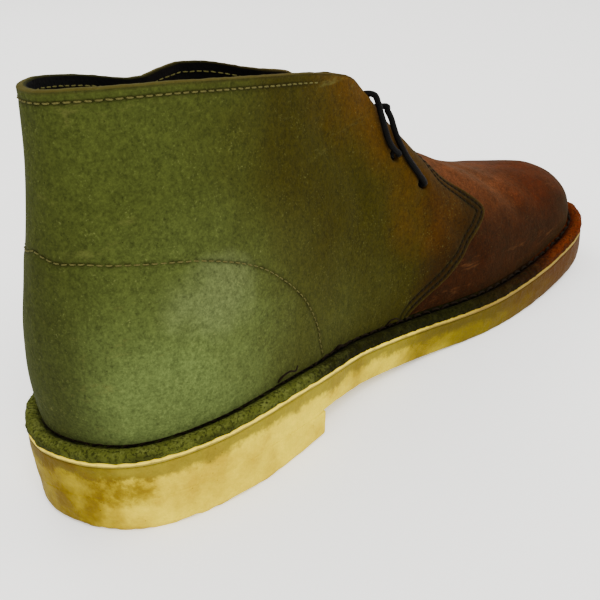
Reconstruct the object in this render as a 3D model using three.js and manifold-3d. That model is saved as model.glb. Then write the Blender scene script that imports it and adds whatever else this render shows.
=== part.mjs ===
// A desert boot: a two-eyelet suede ankle boot, stitched down on a crepe sole.
// The boot stands on its sole with the toe towards +X. All sizes are in millimetres.
import * as THREE from 'three';
import { mergeVertices } from 'three/addons/utils/BufferGeometryUtils.js';
import Module from 'manifold-3d';

const wasm = await Module();
wasm.setup();

// Driving sizes
const footLength = 286;         // the feather line, where the upper meets its turned-out edge
const ballWidth = 97;           // the feather line's width at the ball of the foot
const collarHeight = 142;       // the collar above the floor, at the back of the heel
const heelSeat = 29;            // the top of the sole under the heel
const crepeThickness = 12.6;    // the full-length crepe outsole
const midsoleThickness = 1.8;   // the pale layer between the upper's edge and the crepe
const toeSpring = 8.5;          // the toe's lift above the ball
const insoleThickness = 2.4;
const insoleGap = 0.7;          // the insole stops this far inside the wall
const vampWall = 1.7;           // suede and lining at the toe
const quarterStep = 1.2;        // the quarters lie on the vamp and stand proud of it
const flangeWidth = 7;          // the upper's edge, turned outwards on the sole
const flangeThickness = 3.3;
const tongueWall = 1.6;
const eyeletRadius = 2.2;
const laceRadius = 1.2;
const outerCollarDrop = 4;      // the outer side of the collar sits a little lower
const fit = 0.3;                // the gap between two pieces that touch
const outerSide = 1;            // a left boot: the outer side of the foot is towards +Y
const innerSide = -outerSide;
const collarHalf = 0.23;        // the collar's half width where it is widest, as a share of the ball width

// Places along the boot, measured from the back of the feather line
const heelBreast = 82;
const breastSlope = 2;          // the heel's front face leans back towards its foot
const heelTaper = 1.4;
const seatFallStart = 45;       // the sole's top falls from the heel seat to the ball between these
const seatFallEnd = 188;
const springStart = 205;
const springPower = 1.8;

const ballSeat = crepeThickness + midsoleThickness + 2 * fit;

// How finely the surfaces are divided
const sideColumns = 46;
const wallRows = 12;
const eyeletSides = 12;

// The upper's sections, from the back of the heel to the toe. Each starts on the feather line and
// ends on the collar, on the facing or, in front of the throat, on the ridge where both sides meet.
// along, topAlong: shares of the foot length. outer, inner, topHalf, topInner: shares of the ball
// width, where topInner moves the section's top towards the inner side. topHeight: share of the
// collar height. climb, lift: how steeply a section leaves its foot and reaches its top.
// reach: how far it runs across the foot at its top. swell: its roundness, in millimetres.
const sectionColumns = ['along', 'outer', 'inner', 'topAlong', 'topHalf', 'topInner', 'topHeight',
	'climb', 'lift', 'reach', 'swell'];
const sectionRows = [
	[0.000, 0.000, 0.000, 0.041, 0.000, 0.043, 1.000, 0.9, 0.9, 0.0, 2.5],
	[0.040, 0.220, 0.262, 0.068, 0.125, 0.043, 1.000, 0.9, 0.9, 0.0, 2.5],
	[0.145, 0.337, 0.373, 0.165, 0.225, 0.043, 0.983, 0.9, 0.9, 0.0, 2.0],
	[0.280, 0.350, 0.358, 0.290, 0.230, 0.043, 0.942, 0.9, 0.9, 0.1, 1.5],
	[0.390, 0.380, 0.308, 0.384, 0.190, 0.043, 0.905, 1.0, 0.8, 0.4, 1.0],
	[0.470, 0.415, 0.306, 0.454, 0.155, 0.038, 0.858, 1.1, 0.6, 0.8, 0.5],
	[0.540, 0.458, 0.322, 0.500, 0.145, 0.028, 0.770, 1.2, 0.3, 1.2, 0.5],
	[0.610, 0.490, 0.360, 0.546, 0.120, 0.018, 0.680, 1.4, 0.1, 1.4, 0.5],
	[0.680, 0.508, 0.397, 0.592, 0.000, 0.012, 0.607, 1.5, 0.0, 1.5, 0.5],
	[0.760, 0.497, 0.405, 0.657, 0.000, 0.020, 0.535, 1.6, 0.0, 1.6, 1.0],
	[0.850, 0.440, 0.400, 0.745, 0.000, 0.040, 0.452, 1.7, 0.0, 1.7, 1.0],
	[0.935, 0.305, 0.365, 0.830, 0.000, 0.065, 0.400, 1.8, 0.0, 1.7, 1.0],
	[0.983, 0.115, 0.260, 0.885, 0.000, 0.082, 0.377, 1.8, 0.0, 1.7, 1.0],
	[1.000, -0.090, 0.090, 0.905, 0.000, 0.090, 0.370, 1.8, 0.0, 1.7, 1.0],
];
const sections = sectionRows.map((row) => (
	Object.fromEntries(row.map((value, index) => [sectionColumns[index], value]))));
const cornerSection = 5;
const throatSection = 8;
const throatShare = throatSection / (sections.length - 1);

// The quarters' front edge, from the flange up to the throat: place along the sections at each
// share of the height
const quarterEdge = [
	{ up: 0.00, share: 0.430 },
	{ up: 0.12, share: 0.525 },
	{ up: 0.26, share: 0.592 },
	{ up: 0.40, share: 0.645 },
	{ up: 0.52, share: 0.630 },
	{ up: 0.64, share: 0.590 },
	{ up: 0.80, share: 0.590 },
	{ up: 1.00, share: throatShare },
];

// The flange's rounded profile, from the wall's foot outwards, over its edge and back beneath:
// out as a share of the flange's width, up as a share of its thickness
const flangeProfile = [
	{ out: 0.16, up: 0.72 },
	{ out: 0.34, up: 0.92 },
	{ out: 0.62, up: 1.00 },
	{ out: 0.88, up: 0.90 },
	{ out: 0.99, up: 0.62 },
	{ out: 1.00, up: 0.22 },
	{ out: 0.95, up: 0.00 },
	{ out: 0.30, up: 0.00 },
];

// Curves through rows of numbers

function smooth(before, from, to, after, share) {
	return 0.5 * (2 * from + (to - before) * share
		+ (2 * before - 5 * from + 4 * to - after) * share ** 2
		+ (3 * from - before - 3 * to + after) * share ** 3);
}

function easeBetween(value, start, end) {
	const share = THREE.MathUtils.clamp((value - start) / (end - start), 0, 1);
	return share * share * (3 - 2 * share);
}

function alongTable(table, key, field, value) {
	const last = table.length - 1;
	let index = 0;
	while (index < last - 1 && value > table[index + 1][key]) index += 1;
	const from = table[index];
	const to = table[index + 1];
	const share = THREE.MathUtils.clamp((value - from[key]) / (to[key] - from[key]), 0, 1);
	const before = table[Math.max(index - 1, 0)];
	const after = table[Math.min(index + 2, last)];
	return smooth(before[field], from[field], to[field], after[field], share);
}

// The top of the sole: level under the heel, down to the ball, and up to the toe
function seatHeight(along) {
	const fall = easeBetween(along, seatFallStart, seatFallEnd);
	const spring = Math.max(0, (along - springStart) / (footLength - springStart));
	return heelSeat + (ballSeat - heelSeat) * fall + toeSpring * spring ** springPower;
}

// One section as numbers on its own side of the foot
function sectionNumbers(index, side) {
	const row = sections[index];
	const last = sections.length - 1;
	const lower = sections[Math.max(index - 1, cornerSection)];
	const upper = sections[Math.min(index + 1, last)];
	const run = (upper.topAlong - lower.topAlong) * footLength;
	const slope = index < cornerSection ? 0 : (upper.topHeight - lower.topHeight) * collarHeight / run;
	const middle = innerSide * row.topInner * ballWidth;
	return [
		row.along * footLength,
		side * (side === outerSide ? row.outer : row.inner) * ballWidth,
		row.topAlong * footLength,
		middle + side * row.topHalf * ballWidth,
		row.topHeight * collarHeight,
		middle, row.climb, row.lift, row.reach, row.swell, slope,
	];
}

const numbers = {};
for (const side of [outerSide, innerSide]) {
	const own = sections.map((row, index) => sectionNumbers(index, side));
	// The other side's next section carries the curve round the heel and the toe
	numbers[side] = [sectionNumbers(1, -side), ...own, sectionNumbers(sections.length - 2, -side)];
}

// The section at a share of the way from the heel to the toe. Past either end it is on the other
// side, so that directions at the heel and the toe are the same from both sides.
function sectionAt(side, share) {
	if (share < 0) return sectionAt(-side, -share);
	if (share > 1) return sectionAt(-side, 2 - share);
	const last = sections.length - 1;
	const place = THREE.MathUtils.clamp(share * last, 0, last);
	const index = Math.min(Math.floor(place), last - 1);
	const rows = numbers[side].slice(index, index + 4);
	const mix = rows[0].map((value, field) => smooth(
		rows[0][field], rows[1][field], rows[2][field], rows[3][field], place - index));
	const [x, y, topX, topY, topZ, middle, climb, lift, reach, swell, slope] = mix;
	const half = share >= throatShare ? 0 : Math.max(side * (topY - middle), 0);
	const drop = side === outerSide ? outerCollarDrop * half / (collarHalf * ballWidth) : 0;
	return {
		x, y, topX, climb, lift, reach, swell, slope,
		topY: middle + side * half,
		topZ: topZ - drop,
	};
}

// The direction in plan that points out of the foot
function outwardAt(side, share) {
	const step = 0.001;
	const before = sectionAt(side, share - step);
	const after = sectionAt(side, share + step);
	return new THREE.Vector3(-side * (after.y - before.y), side * (after.x - before.x), 0).normalize();
}

// A point of the sole's outline, this far outside the feather line and above the sole's top
function edgePoint(side, share, outset, lift) {
	const { x, y } = sectionAt(side, share);
	const point = outwardAt(side, share).multiplyScalar(outset).add(new THREE.Vector3(x, y, 0));
	point.z = seatHeight(x) + lift;
	return point;
}

// A point of the vamp's outer skin: a curve that leaves the feather line upright and arrives at
// the section's top, rounded outwards by its swell
function skinPoint(side, share, up) {
	const row = sectionAt(side, share);
	const foot = new THREE.Vector3(row.x, row.y, seatHeight(row.x) + flangeThickness);
	const top = new THREE.Vector3(row.topX, row.topY, row.topZ);
	const across = new THREE.Vector3().subVectors(top, foot);
	const height = across.z;
	const leave = new THREE.Vector3(0, 0, height * row.climb);
	const arrive = new THREE.Vector3(across.x * row.reach, across.y * row.reach,
		height * row.lift + row.slope * across.x * row.reach);
	const point = foot.multiplyScalar(2 * up ** 3 - 3 * up ** 2 + 1);
	point.addScaledVector(leave, up ** 3 - 2 * up ** 2 + up);
	point.addScaledVector(top, 3 * up ** 2 - 2 * up ** 3);
	point.addScaledVector(arrive, up ** 3 - up ** 2);
	const swell = 6.75 * up * (1 - up) ** 2 * row.swell;
	return point.addScaledVector(outwardAt(side, share), swell);
}

// Solids from faces

function solidFromTriangles(corners) {
	let geometry = new THREE.BufferGeometry().setFromPoints(corners);
	geometry = mergeVertices(geometry, 1e-4);
	const kept = [];
	for (let start = 0; start < geometry.index.count; start += 3) {
		const [a, b, c] = [0, 1, 2].map((offset) => geometry.index.getX(start + offset));
		if (a !== b && b !== c && c !== a) kept.push(a, b, c);
	}
	geometry.setIndex(kept);
	geometry.computeVertexNormals();
	return geometry;
}

function addQuad(corners, a, b, c, d) {
	corners.push(a, b, c, a, c, d);
}

// Rings of points stacked from bottom to top and closed by caps. Each ring has two sides that run
// from back to front, and every cap is a row of strips between them.
function stackedSolid(rings) {
	const corners = [];
	const bottom = rings[0];
	const top = rings[rings.length - 1];
	const last = bottom.outer.length - 1;
	for (let level = 0; level < rings.length - 1; level += 1) {
		const low = rings[level];
		const high = rings[level + 1];
		for (let index = 0; index < last; index += 1) {
			addQuad(corners, low.outer[index + 1], low.outer[index],
				high.outer[index], high.outer[index + 1]);
			addQuad(corners, low.inner[index], low.inner[index + 1],
				high.inner[index + 1], high.inner[index]);
		}
		addQuad(corners, low.inner[last], low.outer[last], high.outer[last], high.inner[last]);
		addQuad(corners, low.outer[0], low.inner[0], high.inner[0], high.outer[0]);
	}
	for (let index = 0; index < last; index += 1) {
		addQuad(corners, top.outer[index + 1], top.outer[index],
			top.inner[index], top.inner[index + 1]);
		addQuad(corners, bottom.outer[index], bottom.outer[index + 1],
			bottom.inner[index + 1], bottom.inner[index]);
	}
	return solidFromTriangles(corners);
}

// A sheet between the grids of its back and its face, closed along its four edges
function sheetSolid(backGrid, faceGrid) {
	const corners = [];
	const lastRow = backGrid.length - 1;
	const lastColumn = backGrid[0].length - 1;
	for (let row = 0; row < lastRow; row += 1) {
		for (let column = 0; column < lastColumn; column += 1) {
			addQuad(corners, backGrid[row][column], backGrid[row][column + 1],
				backGrid[row + 1][column + 1], backGrid[row + 1][column]);
			addQuad(corners, faceGrid[row][column], faceGrid[row + 1][column],
				faceGrid[row + 1][column + 1], faceGrid[row][column + 1]);
		}
	}
	for (let row = 0; row < lastRow; row += 1) {
		addQuad(corners, backGrid[row][0], backGrid[row + 1][0],
			faceGrid[row + 1][0], faceGrid[row][0]);
		addQuad(corners, backGrid[row + 1][lastColumn], backGrid[row][lastColumn],
			faceGrid[row][lastColumn], faceGrid[row + 1][lastColumn]);
	}
	for (let column = 0; column < lastColumn; column += 1) {
		addQuad(corners, backGrid[0][column + 1], backGrid[0][column],
			faceGrid[0][column], faceGrid[0][column + 1]);
		addQuad(corners, backGrid[lastRow][column], backGrid[lastRow][column + 1],
			faceGrid[lastRow][column + 1], faceGrid[lastRow][column]);
	}
	return solidFromTriangles(corners);
}

function toManifold(geometry) {
	let plain = geometry.clone();
	plain.deleteAttribute('normal');
	plain.deleteAttribute('uv');
	plain = mergeVertices(plain, 1e-4);
	return new wasm.Manifold(new wasm.Mesh({
		numProp: 3,
		vertProperties: new Float32Array(plain.attributes.position.array),
		triVerts: new Uint32Array(plain.index.array),
	}));
}

function fromManifold(solid) {
	const mesh = solid.getMesh();
	const geometry = new THREE.BufferGeometry();
	const positions = new Float32Array(mesh.vertProperties);
	geometry.setAttribute('position', new THREE.BufferAttribute(positions, 3));
	geometry.setIndex([...mesh.triVerts]);
	geometry.computeVertexNormals();
	return geometry;
}

// The upper

// Columns run up the wall. Behind the quarters' front edge they are spread from the heel to that
// edge, and in front of it from the edge to the toe, so that the edge falls on a column.
const edgeColumn = Math.round(sideColumns * 0.54);

function columnShare(column, up) {
	const edge = alongTable(quarterEdge, 'up', 'share', up);
	if (column <= edgeColumn) return edge * column / edgeColumn;
	return edge + (1 - edge) * (column - edgeColumn) / (sideColumns - edgeColumn);
}

function skinColumn(side, column) {
	const points = [];
	for (let row = 0; row <= wallRows; row += 1) {
		const up = row / wallRows;
		points.push(skinPoint(side, columnShare(column, up), up));
	}
	return points;
}

const skin = {};
for (const side of [outerSide, innerSide]) {
	skin[side] = [];
	for (let column = 0; column <= sideColumns; column += 1) {
		skin[side].push(skinColumn(side, column));
	}
}

// The skin's normals, summed from the faces round each point
function skinNormals(side) {
	const grid = skin[side];
	const sums = grid.map((column) => column.map(() => new THREE.Vector3()));
	for (let column = 0; column < sideColumns; column += 1) {
		for (let row = 0; row < wallRows; row += 1) {
			const along = new THREE.Vector3().subVectors(grid[column + 1][row + 1], grid[column][row]);
			const back = new THREE.Vector3().subVectors(grid[column][row + 1], grid[column + 1][row]);
			const face = along.cross(back).multiplyScalar(-side);
			for (const [right, above] of [[0, 0], [1, 0], [1, 1], [0, 1]]) {
				sums[column + right][row + above].add(face);
			}
		}
	}
	return sums;
}

// Both sides share the heel's and the toe's columns and, in front of the throat, the ridge
const normals = { [outerSide]: skinNormals(outerSide), [innerSide]: skinNormals(innerSide) };
for (let column = 0; column <= sideColumns; column += 1) {
	for (let row = 0; row <= wallRows; row += 1) {
		const ends = column === 0 || column === sideColumns;
		const shared = ends || (row === wallRows && column >= edgeColumn);
		const pair = [normals[outerSide][column][row], normals[innerSide][column][row]];
		if (shared) {
			pair[0].add(pair[1]);
			pair[1].copy(pair[0]);
		}
		for (const normal of pair) normal.normalize();
	}
}

function liftedColumn(side, column, distance) {
	return skin[side][column].map((point, row) => (
		point.clone().addScaledVector(normals[side][column][row], distance)));
}

function flangeColumn(side, column) {
	const share = columnShare(column, 0);
	return flangeProfile.map((row) => (
		edgePoint(side, share, row.out * flangeWidth, row.up * flangeThickness)));
}

// One column all the way round the wall: the outer face down, over the flange and back beneath it,
// and the inner face up again
function wallLoop(side, column, step) {
	const outerFace = liftedColumn(side, column, step).reverse();
	const innerFace = liftedColumn(side, column, -vampWall);
	const share = columnShare(column, 0);
	const foot = edgePoint(side, share, -vampWall, 0);
	return [...outerFace, ...flangeColumn(side, column), foot, ...innerFace];
}

function upperSolid() {
	const corners = [];
	for (const side of [outerSide, innerSide]) {
		const addStrip = (from, to) => {
			for (let index = 0; index < from.length - 1; index += 1) {
				const square = [from[index], to[index], to[index + 1], from[index + 1]];
				if (side === innerSide) square.reverse();
				addQuad(corners, ...square);
			}
		};
		for (let column = 0; column < sideColumns; column += 1) {
			const step = column < edgeColumn ? quarterStep : 0;
			const from = wallLoop(side, column, step);
			const to = wallLoop(side, column + 1, step);
			addStrip(from, to);
			if (column < edgeColumn) {
				// The rim of the collar and the facing
				addStrip([from[from.length - 1], from[0]], [to[to.length - 1], to[0]]);
			}
		}
		// The quarter's cut edge stands on the vamp
		const raised = wallLoop(side, edgeColumn, quarterStep).slice(0, wallRows + 2);
		const flat = wallLoop(side, edgeColumn, 0).slice(0, wallRows + 2);
		addStrip(raised, flat);
	}
	return solidFromTriangles(corners);
}

// A point above or below the skin, measured square to it
function nearSkin(side, share, up, lift) {
	const step = 0.01;
	const ahead = skinPoint(side, share + step, up);
	const behind = skinPoint(side, share - step, up);
	const above = skinPoint(side, share, Math.min(up + step, 1));
	const below = skinPoint(side, share, up - step);
	const along = new THREE.Vector3().subVectors(ahead, behind);
	const climb = new THREE.Vector3().subVectors(above, below);
	const normal = along.cross(climb).multiplyScalar(-side).normalize();
	return skinPoint(side, share, up).addScaledVector(normal, lift);
}

// The eyelets are plain holes punched through the quarters
const eyelets = {
	top: { share: 0.463, up: 0.68 },
	bottom: { share: 0.513, up: 0.56 },
};
const punchReach = 5;           // the punch reaches this far to each side of the skin

function eyeletPunch(side, { share, up }) {
	const outside = nearSkin(side, share, up, punchReach);
	const inside = nearSkin(side, share, up, -punchReach);
	const axis = new THREE.Vector3().subVectors(outside, inside);
	const punch = new THREE.CylinderGeometry(
		eyeletRadius, eyeletRadius, axis.length(), eyeletSides);
	const turn = new THREE.Quaternion().setFromUnitVectors(
		new THREE.Vector3(0, 1, 0), axis.clone().normalize());
	punch.applyQuaternion(turn);
	const middle = outside.add(inside).multiplyScalar(0.5);
	punch.translate(middle.x, middle.y, middle.z);
	return toManifold(punch);
}

function punchedUpper() {
	let solid = toManifold(upperSolid());
	for (const side of [outerSide, innerSide]) {
		for (const eyelet of Object.values(eyelets)) {
			solid = solid.subtract(eyeletPunch(side, eyelet));
		}
	}
	return fromManifold(solid);
}

// The tongue lies under the facings and the vamp. Each of its rows runs up the inside of one side,
// bridges the gap between the facings and runs down the inside of the other side.
const tongueRows = 16;
const tongueColumns = 14;
const tongueFoot = { share: 0.70, from: 0.72, gap: fit };
const tongueHead = { share: 0.405, from: 0.80, gap: 2 * laceRadius + 2 * fit };
const tongueTail = 2;           // the tongue runs on this far past its last row
const bridgePoints = 8;

function tongueRowPoints(progress) {
	const share = THREE.MathUtils.lerp(tongueFoot.share, tongueHead.share, progress);
	const from = THREE.MathUtils.lerp(tongueFoot.from, tongueHead.from, progress);
	const gapShare = easeBetween(progress, 0.15, 0.45);
	const depth = vampWall + THREE.MathUtils.lerp(tongueFoot.gap, tongueHead.gap, gapShare);
	const flank = (side) => {
		const points = [];
		for (let step = 0; step <= 6; step += 1) {
			points.push(nearSkin(side, share, THREE.MathUtils.lerp(from, 1, step / 6), -depth));
		}
		return points;
	};
	const left = flank(outerSide);
	const right = flank(innerSide);
	const start = left[left.length - 1];
	const end = right[right.length - 1];
	const gap = start.distanceTo(end);
	if (gap < fit) return [...left, ...right.reverse().slice(1)];
	const leaveLeft = new THREE.Vector3().subVectors(start, left[left.length - 2]).setLength(gap / 3);
	const leaveRight = new THREE.Vector3().subVectors(end, right[right.length - 2]).setLength(gap / 3);
	const bridge = new THREE.CubicBezierCurve3(
		start, start.clone().add(leaveLeft), end.clone().add(leaveRight), end);
	return [...left, ...bridge.getPoints(bridgePoints).slice(1, -1), ...right.reverse()];
}

function evenPoints(points, count) {
	const path = new THREE.CurvePath();
	for (let index = 0; index < points.length - 1; index += 1) {
		path.add(new THREE.LineCurve3(points[index], points[index + 1]));
	}
	return path.getSpacedPoints(count);
}

function gridNormals(grid) {
	const rows = grid.length;
	const columns = grid[0].length;
	return grid.map((line, row) => line.map((point, column) => {
		const down = grid[Math.max(row - 1, 0)][column];
		const up = grid[Math.min(row + 1, rows - 1)][column];
		const left = line[Math.max(column - 1, 0)];
		const right = line[Math.min(column + 1, columns - 1)];
		const across = new THREE.Vector3().subVectors(right, left);
		return new THREE.Vector3().subVectors(up, down).cross(across).normalize();
	}));
}

function tongueGrid() {
	const grid = [];
	for (let row = 0; row < tongueRows; row += 1) {
		grid.push(evenPoints(tongueRowPoints(row / (tongueRows - 1)), tongueColumns));
	}
	const last = grid[tongueRows - 1];
	const before = grid[tongueRows - 2];
	grid.push(last.map((point, column) => {
		const onward = new THREE.Vector3().subVectors(point, before[column]).setLength(tongueTail);
		return onward.add(point);
	}));
	return grid;
}

const tongueFace = tongueGrid();

function tongueSolid() {
	const normals = gridNormals(tongueFace);
	const back = tongueFace.map((line, row) => line.map((point, column) => (
		point.clone().addScaledVector(normals[row][column], -tongueWall))));
	return sheetSolid(back, tongueFace);
}

// Sole pieces

function outlineRing(outset, lift, lastShare = 1) {
	const ring = { outer: [], inner: [] };
	for (let column = 0; column <= sideColumns; column += 1) {
		const share = lastShare * column / sideColumns;
		ring.outer.push(edgePoint(outerSide, share, outset, lift));
		ring.inner.push(edgePoint(innerSide, share, outset, lift));
	}
	return ring;
}

const midsoleTop = -fit;
const midsoleBase = midsoleTop - midsoleThickness;
const crepeTop = midsoleBase - fit;
const crepeBase = crepeTop - crepeThickness;

// The crepe's side bulges a little between its top and its base
const crepeProfile = [
	{ out: -1.0, up: 0.00 },
	{ out: -0.2, up: 0.08 },
	{ out: 0.2, up: 0.45 },
	{ out: 0.0, up: 0.92 },
	{ out: -0.4, up: 1.00 },
];

function shareAt(side, along) {
	let low = 0;
	let high = 1;
	for (let step = 0; step < 40; step += 1) {
		const middle = (low + high) / 2;
		if (sectionAt(side, middle).x < along) low = middle;
		else high = middle;
	}
	return (low + high) / 2;
}

function insoleSolid() {
	const outset = -(vampWall + insoleGap);
	return stackedSolid([outlineRing(outset, 0), outlineRing(outset, insoleThickness)]);
}

function midsoleSolid() {
	return stackedSolid([outlineRing(flangeWidth, midsoleBase), outlineRing(flangeWidth, midsoleTop)]);
}

function crepeSolid() {
	return stackedSolid(crepeProfile.map((row) => (
		outlineRing(flangeWidth + row.out, crepeBase + row.up * crepeThickness))));
}

// The heel block: flat on the floor, and shaped above to the underside of the crepe
function heelBlock() {
	const share = shareAt(outerSide, heelBreast);
	const levels = [
		{ up: 0, taper: heelTaper + 0.8 },
		{ up: 0.1, taper: heelTaper },
		{ up: 1, taper: 0 },
	];
	return stackedSolid(levels.map(({ up, taper }) => {
		const ring = outlineRing(flangeWidth + crepeProfile[0].out - taper, 0, share);
		for (const point of [...ring.outer, ...ring.inner]) {
			const top = seatHeight(point.x) + crepeBase - fit;
			point.x -= breastSlope * (1 - up) * point.x / heelBreast;
			point.z = up * top;
		}
		return ring;
	}));
}

// The lace

function tube(points, radius, sides, spacing) {
	const path = new THREE.CatmullRomCurve3(points, false, 'centripetal');
	const section = new THREE.Shape();
	for (let side = 0; side < sides; side += 1) {
		const angle = 2 * Math.PI * side / sides;
		const corner = [radius * Math.cos(angle), radius * Math.sin(angle)];
		if (side === 0) section.moveTo(...corner);
		else section.lineTo(...corner);
	}
	section.closePath();
	const steps = Math.max(2, Math.round(path.getLength() / spacing));
	return new THREE.ExtrudeGeometry(section, { steps, bevelEnabled: false, extrudePath: path });
}

// A crossing strand leaves its own side's bottom eyelet, runs up beside the facing's edge and over
// it to the middle, and runs under the other facing into the top eyelet
const laceOver = quarterStep + fit + laceRadius + 0.2;
const laceUnder = -(vampWall + fit + laceRadius);
const strandStart = [
	{ ...eyelets.bottom, lift: laceUnder },
	{ ...eyelets.bottom, lift: -0.8 },
	{ ...eyelets.bottom, lift: 2.0 },
	{ share: 0.500, up: 0.61, lift: laceOver },
	{ share: 0.488, up: 0.67, lift: laceOver },
	{ share: 0.479, up: 0.75, lift: laceOver },
	{ share: 0.476, up: 0.82, lift: laceOver + 0.4 },
	{ share: 0.479, up: 0.89, lift: laceOver + 0.8 },
	{ share: 0.482, up: 0.95, lift: laceOver + 0.8 },
	{ share: 0.485, up: 1.00, lift: laceOver + 0.5 },
];
const strandEnd = [
	{ share: 0.494, up: 1.00, lift: laceUnder },
	{ share: 0.486, up: 0.90, lift: laceUnder },
	{ share: 0.473, up: 0.79, lift: laceUnder },
	{ share: 0.464, up: 0.70, lift: laceUnder },
	{ ...eyelets.top, lift: -1.6 },
	{ ...eyelets.top, lift: 0.6 },
];
const crossingRow = 10;
const crossingLift = 2.7;
const laceSides = 8;
const strandSpacing = 2.9;
const looseSpacing = 4;

function laceCrossings() {
	const middle = tongueColumns / 2;
	const normal = gridNormals(tongueFace)[crossingRow][middle];
	const crossing = tongueFace[crossingRow][middle].clone().addScaledVector(normal, crossingLift);
	let joined = null;
	for (const side of [outerSide, innerSide]) {
		const place = (from) => ({ share, up, lift }) => nearSkin(from, share, up, lift);
		const route = [...strandStart.map(place(side)), crossing, ...strandEnd.map(place(-side))];
		const strand = toManifold(tube(route, laceRadius, laceSides, strandSpacing));
		joined = joined ? joined.add(strand) : strand;
	}
	return fromManifold(joined);
}

// The loose lace: routes by hand, from the back of the feather line. Each end comes out of its top
// eyelet and runs up its own facing and over its edge. The outer end then crosses the tongue, and
// both are tucked in between the tongue and the inner facing.
const innerLaceRoute = [
	[148.3, -24.7, 89.6],
	[148.0, -26.2, 90.5],
	[146.1, -26.0, 92.1],
	[144.4, -25.3, 94.6],
	[143.4, -24.5, 97.7],
	[143.0, -23.5, 101.5],
	[143.0, -22.7, 104.1],
	[143.0, -21.8, 106.5],
	[143.3, -20.9, 108.5],
	[143.5, -20.1, 110.3],
	[143.1, -18.6, 113.2],
	[140.6, -15.8, 113.7],
	[138.6, -13.8, 111.6],
	[139.2, -15.2, 109.5],
	[139.2, -15.7, 108.3],
	[139.4, -16.3, 106.5],
];
const outerLaceRoute = [
	[148.2, 26.9, 88.1],
	[147.9, 28.1, 89.3],
	[145.8, 27.4, 91.0],
	[143.6, 25.6, 94.0],
	[142.6, 23.1, 98.1],
	[142.1, 20.0, 103.2],
	[142.0, 16.4, 107.8],
	[142.0, 12.3, 111.4],
	[144.3, 7.0, 111.4],
	[146.4, 0.0, 110.6],
	[147.6, -7.0, 110.2],
	[147.2, -11.6, 109.5],
	[144.6, -12.4, 107.6],
	[142.3, -14.6, 106.5],
	[142.7, -15.2, 105.2],
	[142.9, -15.8, 103.9],
	[143.3, -16.5, 102.0],
];

function looseLace(route) {
	const points = route.map((place) => new THREE.Vector3(...place));
	return tube(points, laceRadius, laceSides, looseSpacing);
}

// Finish and name the pieces
const group = new THREE.Group();

function addPiece(name, geometry, color, roughness) {
	const material = new THREE.MeshStandardMaterial({ color, roughness, metalness: 0 });
	const mesh = new THREE.Mesh(geometry, material);
	mesh.name = name;
	group.add(mesh);
}

const suedeGreen = 0x5f6b2c;
const tongueBrown = 0x4d3f1c;
const insoleTan = 0xb38a58;
const midsoleCream = 0xe6cf7a;
const crepeYellow = 0xd0ab52;
const laceBlack = 0x15120f;

addPiece('upper', punchedUpper(), suedeGreen, 0.95);
addPiece('tongue', tongueSolid(), tongueBrown, 0.95);
addPiece('insole', insoleSolid(), insoleTan, 0.8);
addPiece('midsole', midsoleSolid(), midsoleCream, 0.7);
addPiece('crepe_outsole', crepeSolid(), crepeYellow, 0.75);
addPiece('crepe_heel', heelBlock(), crepeYellow, 0.75);
addPiece('lace_crossings', laceCrossings(), laceBlack, 0.6);
addPiece('lace_inner', looseLace(innerLaceRoute), laceBlack, 0.6);
addPiece('lace_outer', looseLace(outerLaceRoute), laceBlack, 0.6);

// Move the finished boot so that it stands on the floor with its box centred on the origin
const box = new THREE.Box3().setFromObject(group);
const centre = box.getCenter(new THREE.Vector3());
for (const mesh of group.children) mesh.geometry.translate(-centre.x, -centre.y, -box.min.z);

export default group;
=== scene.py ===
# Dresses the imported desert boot: a worn green suede upper that turns red-brown at the toe, turned out
# onto a yellow crepe sole. Shapes are worked out in millimetres from the back of the feather line,
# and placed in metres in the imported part's frame.
import math

import bpy
import numpy as np
from mathutils import Matrix, Vector


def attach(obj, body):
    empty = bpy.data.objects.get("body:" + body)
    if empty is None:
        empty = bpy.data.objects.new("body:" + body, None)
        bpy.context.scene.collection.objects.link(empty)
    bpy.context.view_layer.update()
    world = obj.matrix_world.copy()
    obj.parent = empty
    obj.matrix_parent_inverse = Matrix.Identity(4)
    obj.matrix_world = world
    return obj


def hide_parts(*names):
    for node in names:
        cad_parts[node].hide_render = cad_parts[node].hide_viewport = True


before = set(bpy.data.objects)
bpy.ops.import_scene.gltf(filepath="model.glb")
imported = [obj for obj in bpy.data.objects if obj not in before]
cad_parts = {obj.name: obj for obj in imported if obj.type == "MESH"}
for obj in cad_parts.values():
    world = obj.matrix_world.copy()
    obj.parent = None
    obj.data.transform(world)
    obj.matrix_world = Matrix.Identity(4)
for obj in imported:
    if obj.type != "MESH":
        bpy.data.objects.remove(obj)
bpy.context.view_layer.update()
print("frame loaded")

metresPerMillimetre = 0.001
frameShift = np.array([-143.0, -4.995, 0.0])
randomSource = np.random.default_rng(7)


# The boot's shape

bootSizes = {
    "footLength": 286.0,
    "ballWidth": 97.0,
    "collarHeight": 142.0,
    "heelSeat": 29.0,
    "ballSeat": 15.0,
    "toeSpring": 8.5,
    "vampWall": 1.7,
    "quarterStep": 1.2,
    "flangeWidth": 7.0,
    "flangeThickness": 3.3,
    "crepeThickness": 12.6,
    "midsoleThickness": 1.8,
    "outerCollarDrop": 4.0,
    "collarHalf": 0.23,
    "fit": 0.3,
    "seatFall": (45.0, 188.0),
    "springStart": 205.0,
    "springPower": 1.8,
}
outerSide = 1
innerSide = -1

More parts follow.
